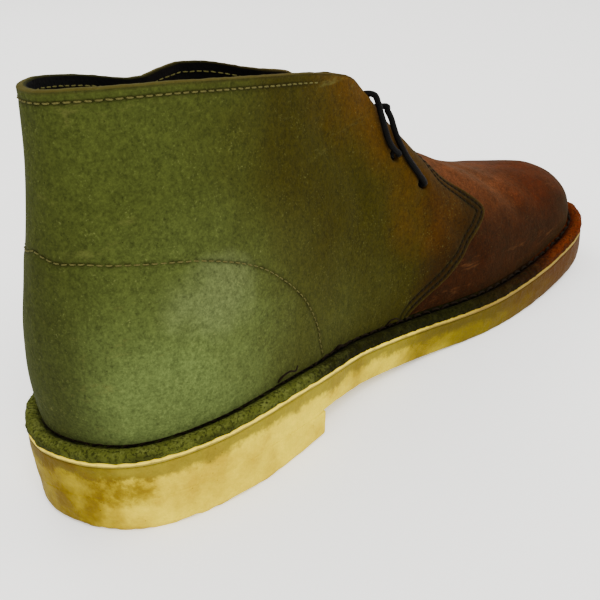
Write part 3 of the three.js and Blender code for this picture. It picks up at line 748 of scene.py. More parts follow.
# The pale layer: cream crepe sheet with nicks of dirt, grey along its foot and brown towards the toe
def midsoleMaterial():
    shader = Shader("midsoleCrepe")
    dirt = shader.noise(160.0, 4.0, 0.7)
    fine = shader.noise(800.0, 2.0, 0.6)
    tone = shader.mix(dirt.ease(0.50, 0.78), crepeLook["paleLayer"], crepeLook["paleDirt"])
    rubbed = (0.50 - shader.fact("high") + (dirt - 0.5) * 0.30).ease(-0.03, 0.05)
    tone = shader.mix(rubbed * 0.80, tone, crepeLook["gray"])
    tone = shader.mix((shader.x + (dirt - 0.5) * 0.03).ease(-0.03, 0.05) * 0.85, tone, crepeLook["paleToe"])
    normal = shader.bumps([(dirt, 0.4, 0.0005), (fine, 0.3, 0.0003)])
    return shader.finish(tone, 0.62 + dirt * 0.2, normal, {"Specular IOR Level": 0.3})


# Crepe rubber: soft clouds of yellow, a greyish band under the pale layer, brown stains, painted shade at the
# back of the heel, and a toe darkened by dirt and painted shade
def crepeMaterial(name):
    shader = Shader(name)
    x, z = shader.x, shader.z
    look = crepeLook
    cloud = shader.noise(42.0, 3.0, 0.55, warp=0.3)
    puff = shader.noise(95.0, 3.0, 0.60)
    curd = shader.noise(330.0, 4.0, 0.72)
    fine = shader.noise(1200.0, 2.0, 0.6)
    tone = shader.mix((cloud * 0.6 + puff * 0.4).ease(0.34, 0.68), look["bright"], look["clean"])
    tone = shader.mix(puff.ease(0.48, 0.70) * 0.22, tone, look["deep"])
    # the greyish band, deepest just under the pale layer and ragged below
    high = shader.fact("high")
    band = (high + (puff - 0.5) * 0.22 + (curd - 0.5) * 0.20).ease(0.515, 0.610)
    tone = shader.mix(band * 0.80, tone, look["gray"])
    # the brown stain low on the heel's inner corner
    stainPlan = 1.0 - ((x + 0.1380) * 80.0) ** 2.0 - ((shader.y + 0.0325) * 68.0) ** 2.0
    stainShape = stainPlan - ((z - 0.0172) * 130.0) ** 2.0
    stain = (stainShape + (puff - 0.5) * 0.9 + (curd - 0.5) * 1.8).ease(-0.15, 1.10)
    tone = shader.mix(stain * 0.86, tone, look["stain"])
    # painted shade with some dirt at the back of the heel, and brown dirt with painted shade towards the toe
    grime = (cloud * 0.4 + puff * 0.35 + curd * 0.25).ease(0.44, 0.60)
    # painted shade along the heel's back edge, mixed with dirt
    back = (-0.141 - x + (puff - 0.5) * 0.010).ease(-0.005, 0.008) * (0.72 + grime * 0.20)
    tone = shader.mix(back, tone, look["backShadeAndDirt"])
    tone = shader.mix(grime * 0.10, tone, look["deep"])
    # darker towards the front and browner at the toe: brown dirt with painted shade
    tone = shader.mix((x + (cloud - 0.5) * 0.08).ease(-0.055, 0.035) * 0.88, tone, look["forefootDirtAndShade"])
    tone = shader.mix((x + (cloud - 0.5) * 0.04).ease(0.030, 0.100) * 0.90, tone, look["toe"])
    # grit pressed into it
    specks = shader.cells(420.0).ease(0.15, 0.05) * puff.ease(0.46, 0.60)
    tone = shader.mix(specks * 0.65, tone, look["grit"])
    value = 0.60 + curd * 0.44 + fine * 0.36
    tone = shader.shaded(tone, value)
    normal = shader.bumps([(puff, 0.30, 0.0030), (curd, 0.55, 0.0011), (fine, 0.35, 0.0004)])
    return shader.finish(tone, 0.55 + curd * 0.25, normal, {
        "Specular IOR Level": 0.06,
    })


# Black waxed lace: a fine herringbone braid from the places along and round it
def laceMaterial():
    shader = Shader("laceCotton")
    run, around = shader.fact("run"), shader.fact("around")
    first = ((run * 2.6 + around * 4.0) * 2.0).math("sine")
    second = ((run * 2.6 - around * 4.0) * 2.0).math("sine")
    braid = first * second
    dust = shader.noise(600.0, 3.0, 0.6)
    tone = shader.mix(braid.ease(-0.6, 0.8), (0.0004, 0.0004, 0.0004), (0.0026, 0.0022, 0.0018))
    tone = shader.mix(dust.ease(0.6, 0.8) * 0.15, tone, (0.016, 0.012, 0.008))
    normal = shader.bumps([(braid, 0.5, 0.0004), (dust, 0.2, 0.0003)])
    return shader.finish(tone, 0.62 - braid * 0.08, normal, {"Specular IOR Level": 0.06})


# Thread: twisted strands, dulled by dust
def threadMaterial(name, light, dark):
    shader = Shader(name)
    twist = ((shader.fact("run") * 9.0 + shader.fact("around")) * 2.0).math("sine")
    dust = shader.noise(900.0, 2.0, 0.6)
    tone = shader.mix(twist.ease(-0.8, 0.8), dark, light)
    tone = shader.mix(dust.ease(0.55, 0.75) * 0.4, tone, dark)
    normal = shader.bumps([(twist, 0.4, 0.0002)])
    return shader.finish(tone, 0.85 - dust * 0.1, normal, {"Specular IOR Level": 0.08})


# The floor: a pale paper that glows a little, so that it stays light round the boot
def floorMaterial():
    shader = Shader("paleFloor")
    cloud = shader.noise(3.0, 3.0, 0.5)
    fine = shader.noise(700.0, 2.0, 0.5)
    tone = shader.mix(cloud, (0.90, 0.90, 0.89), (0.93, 0.93, 0.92))
    normal = shader.bumps([(fine, 0.05, 0.0003)])
    return shader.finish(tone, 0.85 - fine * 0.05, normal, {
        "Specular IOR Level": 0.1,
        "Emission Color": tone,
        "Emission Strength": 0.42,
    })


suede = suedeMaterial("suede")
tongueSuede = suedeMaterial("tongueSuede")
flangeSuede = flangeMaterial()
lining = liningMaterial()
crepe = crepeMaterial("crepe")
lace = laceMaterial()
paleThread = threadMaterial("paleThread", (0.120, 0.110, 0.030), (0.022, 0.020, 0.004))
darkThread = threadMaterial("darkThread", (0.0105, 0.0052, 0.0010), (0.0020, 0.0011, 0.0003))
print("materials made")


# The upper

upperLook = {
    "quarterColumns": 190, "vampColumns": 110, "rows": 100, "rimSteps": 7,
    "seamWidth": 0.72, "collarRow": 3.0, "edgeRow": 1.6, "secondRow": 4.4, "holeDepth": 4.2,
}


# How drawn in the suede is along a seam: a bell curve of the distance from it
def seamMark(distance, width):
    return np.exp(-(distance / width) ** 2)


# Distances to the seams, in millimetres, and the marks and dips that they make
def seamFacts(side, points, places):
    up = np.linspace(0, 1, 400)
    edgeLine = skinPoint(side, edgeShare(up), up)
    share = np.linspace(0, throatShare, 500)
    rimLine = skinPoint(side, share, np.ones(500))
    toEdge = distanceTo(points, edgeLine)
    toRim = distanceTo(points, rimLine)
    width = upperLook["seamWidth"]
    mark = 0.85 * seamMark(distanceTo(points, counterPoints), width)
    fade = 1.0 if side == outerSide else 1 - easeBetween(places, 0.26, 0.31)
    mark = np.maximum(mark, seamMark(toRim - upperLook["collarRow"], width) * fade)
    for row in (upperLook["edgeRow"], upperLook["secondRow"]):
        mark = np.maximum(mark, seamMark(toEdge - row, width) * (toRim > upperLook["collarRow"]))
    return mark, toEdge, toRim


# The suede sinks round a lace hole: one at the hole, eased to nought at two radii
def eyeletDip(side, points):
    dip = np.zeros(points.shape[:-1])
    for share, up in eyelets.values():
        centre = skinPoint(side, np.array(share), np.array(up))
        away = np.linalg.norm(points - centre, axis=-1)
        dip = np.maximum(dip, 1 - easeBetween(away, eyeletRadius * 0.9, eyeletRadius * 2.0))
    return dip


# how far forward the counter reaches at each height
counterReach = ([0, 0.2, 0.4, 0.5, 0.56], [0.256, 0.245, 0.205, 0.154, 0.0])
vampSurface = Surface()
quarterSurface = Surface()
liningSurface = Surface()
rows = np.linspace(0, 1, upperLook["rows"] + 1)[:, None]
for side in (innerSide, outerSide):
    flip = side == innerSide
    # the vamp runs on under the quarters by a narrow underlap
    columns = np.linspace(0, 1, upperLook["vampColumns"] + 1)[None]
    start = edgeShare(rows) - 0.035 * (1 - easeBetween(rows, 0.7, 0.95))
    share = start + (1 - start) * columns
    up = np.broadcast_to(rows, share.shape)
    points = wallPoint(side, share, up)
    vampSurface.addGrid(points, {"vamp": 1.0, "seam": 0.0, "cut": 0.0}, flip)

    # the quarter, spread from the heel to its front edge, then over the cut edge
    columns = np.linspace(0, 1, upperLook["quarterColumns"] + 1)[None]
    share = edgeShare(rows) * columns
    up = np.broadcast_to(rows, share.shape)
    base = skinPoint(side, share, up)
    mark, toEdge, toRim = seamFacts(side, base, share)
    counterShare = easeBetween(distanceTo(base, counterPoints), 0.0, 3.0)
    belowCounter = share < np.interp(up, *counterReach)
    lift = bootSizes["quarterStep"] - 0.35 * mark + 0.30 * counterShare * belowCounter * (up < 0.57)
    lift = lift - 0.5 * eyeletDip(side, base)
    points = wallPoint(side, share, up, lift)
    # each lace hole sinks and takes the seams' painted shade
    holes = np.zeros(share.shape)
    for eyelet in eyelets.values():
        centre = skinPoint(side, np.array(eyelet[0]), np.array(eyelet[1]))
        away = np.linalg.norm(base - centre, axis=-1)
        holes = np.maximum(holes, 1 - easeBetween(away, eyeletRadius * 0.85, eyeletRadius * 1.25))
        hole = 1 - easeBetween(away, eyeletRadius * 0.75, eyeletRadius * 1.05)
        points = points - skinNormal(side, share, up) * (upperLook["holeDepth"] * hole)[..., None]
    cut = 0.35 * (1 - easeBetween(np.minimum(toEdge, toRim), 0.1, 0.9))
    quarterSurface.addGrid(points, {"vamp": 0.0, "seam": np.maximum(mark, holes), "cut": cut}, flip)
    edgeFraction = edgeShare(rows)
    turns = [(0.0, 1.2, 0.35), (0.0010, 1.05, 0.8), (0.0016, 0.6, 1.0), (0.0018, 0.05, 0.7)]
    cutShare = np.concatenate([edgeFraction + offset for offset, _, _ in turns], 1)
    cutUp = np.broadcast_to(rows, cutShare.shape)
    cutLift = np.broadcast_to(np.array([[height for _, height, _ in turns]]), cutShare.shape).copy()
    cutLift[:, 0] = lift[:, -1]
    cutFact = np.broadcast_to(np.array([[amount for _, _, amount in turns]]), cutShare.shape)
    cutEdge = wallPoint(side, cutShare, cutUp, cutLift)
    quarterSurface.addGrid(cutEdge, {"vamp": 0.0, "seam": 0.0, "cut": cutFact}, flip)

    # the collar's and the facing's rim, rounded from the outer face to the lining
    columns = np.linspace(0, 1, upperLook["quarterColumns"] + 1)
    share = throatShare * columns
    up = np.ones_like(share)
    normal = skinNormal(side, share, up)
    climb = unit(skinPoint(side, share, up) - skinPoint(side, share, up - 0.01))
    rimTop = wallPoint(side, share, up, lift[-1])
    inside = -bootSizes["vampWall"]
    bottom = wallPoint(side, share, up, inside)
    angle = np.linspace(0, np.pi, upperLook["rimSteps"] + 1)[:, None, None]
    middle, half = (rimTop + bottom) / 2, (rimTop - bottom) / 2
    rough = 0.12 * waves(middle, 4.0, 21)
    crown = np.sin(angle) * climb[None] * (0.55 + rough)[None, :, None]
    rim = middle[None] + np.cos(angle) * half[None] + crown
    # its outer part shows the suede's cut, and the rest is as dark as the lining
    isCut = np.broadcast_to(np.linspace(0, 1, upperLook["rimSteps"] + 1)[:, None] < 0.62, rim.shape[:2])
    rimFacts = {"vamp": 0.0, "seam": (1.0 - isCut)[::-1], "cut": isCut[::-1] * 0.8}
    quarterSurface.addGrid(rim[::-1], rimFacts, flip)

    # the lining
    columns = np.linspace(0, 1, 121)[None]
    liningRows = np.linspace(0, 1, 51)[:, None]
    share = columns * np.ones_like(liningRows)
    up = np.broadcast_to(liningRows, share.shape)
    points = wallPoint(side, share, up, inside - 0.02)
    liningSurface.addGrid(points, {}, not flip)

place(quarterSurface.build("quarters"), suede, "suede", ["upper"])
place(vampSurface.build("vamp"), suede, "suede")
place(liningSurface.build("lining"), lining, "suede")
print("upper made")


# The flange: the upper's edge turned out on the sole

flangeLook = {"columns": 620, "steps": 22, "fuzz": 0.55, "stitchPitch": 5.4}
# shares of the flange's width, outwards, and of its thickness, upwards
flangeProfile = [
    (-0.10, 1.00), (0.02, 0.80), (0.12, 0.52), (0.24, 0.54), (0.40, 0.82), (0.62, 1.00), (0.86, 0.93),
    (1.00, 0.66), (1.03, 0.28), (1.02, 0.00), (0.90, -0.08), (0.30, -0.06),
]
profileLine = smoothLine([(out, high, 0) for out, high in flangeProfile], flangeLook["steps"])
flangeSurface = Surface()
for side in (innerSide, outerSide):
    share = np.linspace(0, 1, flangeLook["columns"] // 2)[:, None]
    out = profileLine[None, :, 0] * bootSizes["flangeWidth"]
    high = profileLine[None, :, 1] * bootSizes["flangeThickness"]
    points = edgePoint(side, share, out, high)
    outward = outwardAt(side, share)
    steps = np.diff(points[:, :1], axis=0, prepend=points[:1, :1])
    run = np.cumsum(np.linalg.norm(steps, axis=-1), 0)
    fuzz = flangeLook["fuzz"] * (waves(points, 5.0, 31) * 0.5 + waves(points, 1.9, 32) * 0.5)
    bulge = easeBetween(out / bootSizes["flangeWidth"], 0.05, 0.5)
    # each stitch of the welt row pulls the suede down a little
    pull = np.cos(run * 2 * np.pi / flangeLook["stitchPitch"]) * 0.25
    pull = pull * (1 - np.abs(out / bootSizes["flangeWidth"] - 0.15) * 3).clip(0, 1)
    points = points + outward * (fuzz * bulge)[..., None]
    points[..., 2] += (fuzz * 0.6 * bulge - np.maximum(pull, 0)) * (high > 0.3)
    outShare = out / bootSizes["flangeWidth"]
    width = 0.17 + 0.09 * waves(points, 7.0, 35).clip(-1, 1)
    # the groove fact marks where the flange's colour paints shade into the groove
    groove = 1 - easeBetween(np.abs(outShare - 0.16 - 0.06 * waves(points, 9.0, 33)), 0.05, width + 0.05)
    groove = groove * (high > 1.0) * (0.80 + 0.30 * waves(points, 6.0, 34)).clip(0, 1)
    ridge = np.broadcast_to(easeBetween(outShare, 0.25, 0.50) * easeBetween(high, 1.6, 3.0), groove.shape)
    flangeSurface.addGrid(points, {"groove": groove, "ridge": ridge}, side == outerSide)
place(flangeSurface.build("flange"), flangeSuede, "suede")
print("flange made")


# Tongue: a sheet under the facings, from the vamp up past the collar's corners

tongueLook = {
    "rows": 90, "columns": 60, "wall": 1.6, "tail": 2.0, "gapFoot": 0.3, "gapHead": 3.0,
    "footShare": 0.70, "headShare": 0.405, "footUp": 0.72, "headUp": 0.80, "narrowestGap": 0.3,
}


# One row: up the inside of one side, over the gap by a cubic curve and down inside the other side
def tongueRow(progress):
    look = tongueLook
    share = look["footShare"] + (look["headShare"] - look["footShare"]) * progress
    start = look["footUp"] + (look["headUp"] - look["footUp"]) * progress
    gapShare = easeBetween(np.array(progress), 0.15, 0.45)
    depth = bootSizes["vampWall"] + look["gapFoot"] + (look["gapHead"] - look["gapFoot"]) * gapShare
    up = np.linspace(start, 1, 12)
    places = np.full(12, share)
    flanks = [skinPoint(side, places, up) - skinNormalOneSide(side, places, up) * depth
              for side in (outerSide, innerSide)]
    gap = np.linalg.norm(flanks[0][-1] - flanks[1][-1])
    if gap < look["narrowestGap"]:
        line = np.vstack([flanks[0], flanks[1][::-1][1:]])
    else:
        leave = [unit(flank[-1] - flank[-2]) * gap / 3 for flank in flanks]
        t = np.linspace(0, 1, 14)[1:-1, None]
        corners = [flanks[0][-1], flanks[0][-1] + leave[0], flanks[1][-1] + leave[1], flanks[1][-1]]
        bridge = (corners[0] * (1 - t) ** 3 + 3 * corners[1] * t * (1 - t) ** 2
                  + 3 * corners[2] * t ** 2 * (1 - t) + corners[3] * t ** 3)
        line = np.vstack([flanks[0], bridge, flanks[1][::-1]])
    reach = np.concatenate([[0], np.cumsum(np.linalg.norm(np.diff(line, axis=0), axis=1))])
    places = np.linspace(0, reach[-1], look["columns"] + 1)
    return np.stack([np.interp(places, reach, line[:, axis]) for axis in range(3)], -1)


face = np.array([tongueRow(progress) for progress in np.linspace(0, 1, tongueLook["rows"])])
onward = unit(face[-1] - face[-3]) * tongueLook["tail"]
tail = np.array([face[-1] + onward * step for step in np.linspace(0, 1, 9)[1:]])
cornerCut = np.abs(np.linspace(-1, 1, tongueLook["columns"] + 1)) ** 4
tail = tail - unit(onward)[None] * cornerCut[None, :, None] * np.linspace(0, 1, 8)[:, None, None]
face = np.concatenate([face, tail])
tongueNormal = unit(np.cross(np.gradient(face, axis=0), np.gradient(face, axis=1)))
tonguePlain = face
soft = 0.35 * waves(face, 22, 41)
headRow = np.linspace(0, 1, len(face))[:, None]
face = face + tongueNormal * (soft * easeBetween(headRow, 0.45, 0.7))[..., None]
back = face - tongueNormal * tongueLook["wall"]
tongueSurface = Surface()
tongueFacts = {"vamp": 0.0, "seam": 0.25, "cut": 0.0}
tongueSurface.addGrid(face, tongueFacts, True)
tongueSurface.addGrid(back, tongueFacts, False)
for strip in ((face[:, 0], back[:, 0], False), (face[:, -1], back[:, -1], True),
              (face[0], back[0], True), (face[-1], back[-1], False)):
    tongueSurface.addGrid(np.stack(strip[:2]), {"vamp": 0.0, "seam": 0.0, "cut": 0.9}, strip[2])
place(tongueSurface.build("tonguePiece"), tongueSuede, "tongue_suede", ["tongue"])
print("tongue made")


# Sole pieces

soleLook = {"columns": 340, "steps": 20, "capSteps": 12}


# A stack of rings round the sole's outline, closed below and above by strips across, and in front
# where the two sides don't meet
def soleSurface(rings):
    surface = Surface()
    sides = {side: np.stack([ring[side] for ring in rings["points"]]) for side in (innerSide, outerSide)}
    for side in (innerSide, outerSide):
        surface.addGrid(sides[side], rings["facts"], side == outerSide)
    if np.linalg.norm(sides[innerSide][0, -1] - sides[outerSide][0, -1]) > 1:
        front = np.linspace(0, 1, soleLook["capSteps"])[None, :, None]
        first, last = sides[innerSide][:, -1][:, None], sides[outerSide][:, -1][:, None]
        shape = (len(rings["points"]), soleLook["capSteps"])
        facts = {key: np.broadcast_to(values[:, :1], shape) for key, values in rings["facts"].items()}
        surface.addGrid(first + (last - first) * front, facts, False)
    for level, flip in ((0, True), (-1, False)):
        across = np.linspace(0, 1, soleLook["capSteps"])[:, None, None]
        inner, outer = sides[innerSide][level][None], sides[outerSide][level][None]
        shape = (soleLook["capSteps"], inner.shape[1])
        facts = {key: np.full(shape, values[level, 0]) for key, values in rings["facts"].items()}
        surface.addGrid(inner + (outer - inner) * across, facts, flip)
    return surface


# One ring: the outline moved out and up, from the heel as far as a share of its way to the toe
def ringPoints(outset, lift, lastShare=1.0):
    share = lastShare * np.linspace(0, 1, soleLook["columns"])
    return {side: edgePoint(side, share, outset, lift) for side in (innerSide, outerSide)}


# Rings at levels of (out, up), with how high each is, from nought to one
def plainRings(levels):
    high = np.linspace(0, 1, len(levels))[:, None]
    facts = {"high": np.broadcast_to(high, (len(levels), soleLook["columns"]))}
    return {"points": [ringPoints(outset, lift) for outset, lift in levels], "facts": facts}


# Roughens rings sideways by waves: out along the outline's outward direction
def roughen(rings, parts):
    share = np.linspace(0, 1, soleLook["columns"])
    for ring in rings["points"]:
        for side in (innerSide, outerSide):
            rough = sum(size * waves(ring[side], wavelength, seed) for wavelength, size, seed in parts)
            outward = outwardAt(side, share * rings.get("lastShare", 1.0))
            ring[side] = ring[side] + outward * rough[:, None]
    return rings


fit = bootSizes["fit"]
midsoleTop = -fit
midsoleBase = midsoleTop - bootSizes["midsoleThickness"]
crepeTop = midsoleBase - fit
crepeBase = crepeTop - bootSizes["crepeThickness"]

insoleLevels = [(-2.4, 0.0), (-2.4, 1.8), (-2.6, 2.3), (-3.4, 2.4)]
insolePiece = soleSurface(plainRings(insoleLevels)).build("insolePiece")
place(insolePiece, insoleMaterial(), "insole_leather", ["insole"])

width = bootSizes["flangeWidth"]
midsoleLevels = [
    (width - 0.8, midsoleBase), (width - 0.1, midsoleBase + 0.1), (width + 0.05, midsoleBase + 0.5),
    (width + 0.05, midsoleTop - 0.5), (width - 0.2, midsoleTop), (width - 1.2, midsoleTop + 0.1),
]
midsoleRings = roughen(plainRings(midsoleLevels), [(14, 0.10, 51), (4, 0.07, 52)])
place(soleSurface(midsoleRings).build("midsolePiece"), midsoleMaterial(), "midsole", ["midsole"])

heelLook = {"steps": 18, "outset": -0.1, "taper": 0.5, "edge": 1.3, "slope": 0.6, "breast": 84.5}
crepeWaves = [(30, 0.24, 53), (9, 0.16, 54), (3.5, 0.06, 57)]

# out and up as in the crepe's own side: in at the foot, a little bulge, and in again at the top.
# Over the heel block the foot is not drawn in, so that the two run into each other
crepeProfile = smoothLine([(-1.6, 0.0, 0), (-0.9, 0.03, 0), (-0.3, 0.12, 0), (0.15, 0.45, 0), (0.05, 0.90, 0),
                           (-0.1, 0.98, 0), (-0.7, 1.01, 0)], soleLook["steps"])
columnPlaces = sectionAt(outerSide, np.linspace(0, 1, soleLook["columns"]))[:, 0]
overHeel = 1 - easeBetween(columnPlaces, 78.0, 88.0)
crepeLevels = []
for out, high, _ in crepeProfile:
    fill = max(heelLook["outset"] - out, 0) if high < 0.2 else 0
    crepeLevels.append((width + out + fill * overHeel, crepeBase + high * bootSizes["crepeThickness"]))
crepeRings = roughen(plainRings(crepeLevels), crepeWaves)
place(soleSurface(crepeRings).build("crepeOutsole"), crepe, "crepe", ["crepe_outsole"])


# The heel block: rings that draw in a little towards the floor, more at its slightly notched lower
# edge, and follow the crepe's underside above
def heelRings():
    along = sectionAt(outerSide, np.linspace(0, 1, 400))[:, 0]
    last = np.interp(heelLook["breast"], along, np.linspace(0, 1, 400))
    points, high = [], []
    for up in np.linspace(0, 1, heelLook["steps"]) ** 1.4:
        lower = 1 - easeBetween(np.array(up), 0.0, 0.16)
        outset = width + heelLook["outset"] - heelLook["taper"] * (1 - up) - heelLook["edge"] * lower
        ring = ringPoints(outset, 0.0, last)
        for side in ring:
            top = seatHeight(ring[side][:, 0]) + crepeBase + 0.05
            plan = ring[side] * [1, 1, 0]
            notch = np.maximum(waves(plan, 11, 58), 0) * 0.9 + 0.45 * waves(plan, 5, 59)
            ring[side][:, 2] = top * up + notch.clip(0, 1.6) * lower
            ring[side][:, 0] -= heelLook["slope"] * (1 - up) * ring[side][:, 0] / heelLook["breast"]
        points.append(ring)
        high.append(np.full(soleLook["columns"], up * 0.4))
    return {"points": points, "facts": {"high": np.array(high)}, "lastShare": last}


heelPiece = soleSurface(roughen(heelRings(), crepeWaves))
place(heelPiece.build("crepeHeel"), crepe, "crepe", ["crepe_heel"])
print("sole made")


# The lace

laceLook = {
    "radius": 1.2, "sides": 16, "spacing": 0.5, "slack": 0.2, "crossing": 10 / 15, "crossingLift": 2.7,
}
# listed point by point, each from its top hole over the facing and down behind it
innerLaceRoute = [
    (148.3, -24.7, 89.6), (148.0, -26.2, 90.5), (146.1, -26.0, 92.1), (144.4, -25.3, 94.6),
    (143.4, -24.5, 97.7), (143.0, -23.5, 101.5), (143.0, -22.7, 104.1), (143.0, -21.8, 106.5),
    (143.3, -20.9, 108.5), (143.5, -20.1, 110.3), (143.1, -18.6, 113.2), (140.6, -15.8, 113.7),
    (138.6, -13.8, 111.6), (139.2, -15.2, 109.5), (139.2, -15.7, 108.3), (139.4, -16.3, 106.5),
]
outerLaceRoute = [
    (148.2, 26.9, 88.1), (147.9, 28.1, 89.3), (145.8, 27.4, 91.0), (143.6, 25.6, 94.0),
    (142.6, 23.1, 98.1), (142.1, 20.0, 103.2), (142.0, 16.4, 107.8), (142.0, 12.3, 111.4),
    (144.3, 7.0, 111.4), (146.4, 0.0, 110.6), (147.6, -7.0, 110.2), (147.2, -11.6, 109.5),
    (144.6, -12.4, 107.6), (142.3, -14.6, 106.5), (142.7, -15.2, 105.2), (142.9, -15.8, 103.9),
    (143.3, -16.5, 102.0),
]


# Round laces along routes: even steps along a smooth curve, a slightly uneven radius, and a drawn-in
# end closed by a disc
def laceSurface(routes, seed):
    surface = Surface()
    for number, route in enumerate(routes):
        line = smoothLine(route, 400)
        line, _ = evenAlong(line, laceLook["spacing"])
        radius = laceLook["radius"] * (1 + 0.03 * waves(line, 5.0, seed + number))
        radius[[0, -1]] = laceLook["radius"] * 0.55
        grid, run, angle = tubeGrid(line, radius, laceLook["sides"])
        surface.addGrid(grid, tubeFacts(run, angle), closed=True)
        for ring, flip in ((grid[0], False), (grid[-1], True)):
            centre = np.broadcast_to(ring.mean(0), ring.shape)
            surface.addGrid(np.stack([centre, ring]), {"run": 0.0, "around": 0.0}, flip, closed=True)
    return surface


# One strand: out of the bottom hole, up over the facing, across the tongue and under the other
# facing to its top hole. Each row is share, up and lift off the skin
def strandRoute(side):
    over = bootSizes["quarterStep"] + fit + laceLook["radius"] + laceLook["slack"]
    under = -(bootSizes["vampWall"] + fit + laceLook["radius"])
    starts = [(0.513, 0.56, under), (0.513, 0.56, -0.8), (0.513, 0.56, 2.0), (0.500, 0.61, over),
              (0.488, 0.67, over), (0.479, 0.75, over), (0.476, 0.82, over + 0.4), (0.479, 0.89, over + 0.8),
              (0.482, 0.95, over + 0.8), (0.485, 1.00, over + 0.5)]
    ends = [(0.494, 1.00, under), (0.486, 0.90, under), (0.473, 0.79, under), (0.464, 0.70, under),
            (0.463, 0.68, -1.6), (0.463, 0.68, 0.6)]

    def near(which, share, up, lift):
        share, up = np.array(share), np.array(up)
        return skinPoint(which, share, up) + skinNormalOneSide(which, share, up) * lift

    return [near(side, *row) for row in starts] + [crossingPoint] + [near(-side, *row) for row in ends]


crossRow = int(round(laceLook["crossing"] * (tongueLook["rows"] - 1)))
crossColumn = tongueLook["columns"] // 2
crossNormal = tongueNormal[crossRow, crossColumn]
crossingLift = crossNormal * np.sign(crossNormal[2]) * laceLook["crossingLift"]
crossingPoint = tonguePlain[crossRow, crossColumn] + crossingLift
crossingStrands = laceSurface([strandRoute(outerSide), strandRoute(innerSide)], 61)
place(crossingStrands.build("laceCrossings"), lace, "lace", ["lace_crossings"])

looseLaces = (("laceInner", "lace_inner", innerLaceRoute), ("laceOuter", "lace_outer", outerLaceRoute))
for name, node, route in looseLaces:
    piece = place(laceSurface([route], 71).build(name), lace, "lace", [node])
    path, _ = evenAlong(smoothLine(route, 400), 1.0)
    path = np.vstack([route[0], path, route[-1]])
print("laces made")


# Stitches

threadLook = {"radius": 0.34, "arch": 0.42, "sink": 0.20, "sides": 6, "rings": 6}


# A row of stitches: short threads, each bowed up from the surface between its two holes
def stitchRow(surface, points, normals, pitch, length, radius, jitter=0.05):
    centres, _ = evenAlong(points, pitch)
    closest = ((centres[:, None] - points[None]) ** 2).sum(-1).argmin(1)
    normal = normals[closest]
    tangent = unit(np.gradient(points, axis=0))[closest]
    tangent = unit(tangent + randomSource.normal(0, jitter, tangent.shape))
    across = unit(np.cross(normal, tangent))
    along = np.linspace(-0.5, 0.5, threadLook["rings"])
    size = radius * np.array([0.5] + [1.0] * (threadLook["rings"] - 2) + [0.5])
    height = threadLook["arch"] * (1 - (2 * along) ** 2) - threadLook["sink"]
    angle = np.linspace(0, 2 * np.pi, threadLook["sides"], endpoint=False)
    spine = (centres[:, None] + tangent[:, None] * (along * length)[None, :, None]
             + normal[:, None] * (height * radius / threadLook["radius"])[None, :, None])
    ring = (np.cos(angle)[None, None, :, None] * across[:, None, None]
            + np.sin(angle)[None, None, :, None] * normal[:, None, None])
    stitches = spine[:, :, None] + ring * size[None, :, None, None]
    count = len(centres)
    quads = tubeQuads(threadLook["rings"], threadLook["sides"])
    run = np.broadcast_to((along * length)[None, :, None], stitches.shape[:3])
    around = np.broadcast_to(angle[None, None], stitches.shape[:3])
    surface.addCopies(stitches.reshape(count, -1, 3), quads, {"run": run, "around": around})


# Slides places on the skin by a distance along the surface, in three steps. Each step's change of
# share and up is the least-squares fit of the two surface directions to the wanted shift
def slidePlaces(side, share, up, toward, distance):
    step = 0.002
    for _ in range(3):
        point = skinPoint(side, share, up)
        along = (skinPoint(side, share + step, up) - skinPoint(side, share - step, up)) / (2 * step)
        climb = (skinPoint(side, share, up + step) - skinPoint(side, share, up - step)) / (2 * step)
        wanted = unit(toward) * distance / 3
        basis = np.stack([along, climb], -1)
        normalMatrix = np.einsum("nij,nik->njk", basis, basis)
        right = np.einsum("nij,ni->nj", basis, wanted)
        change = np.linalg.solve(normalMatrix, right[..., None])[..., 0]
        share = share + change[:, 0]
        up = up + change[:, 1]
    return share, up


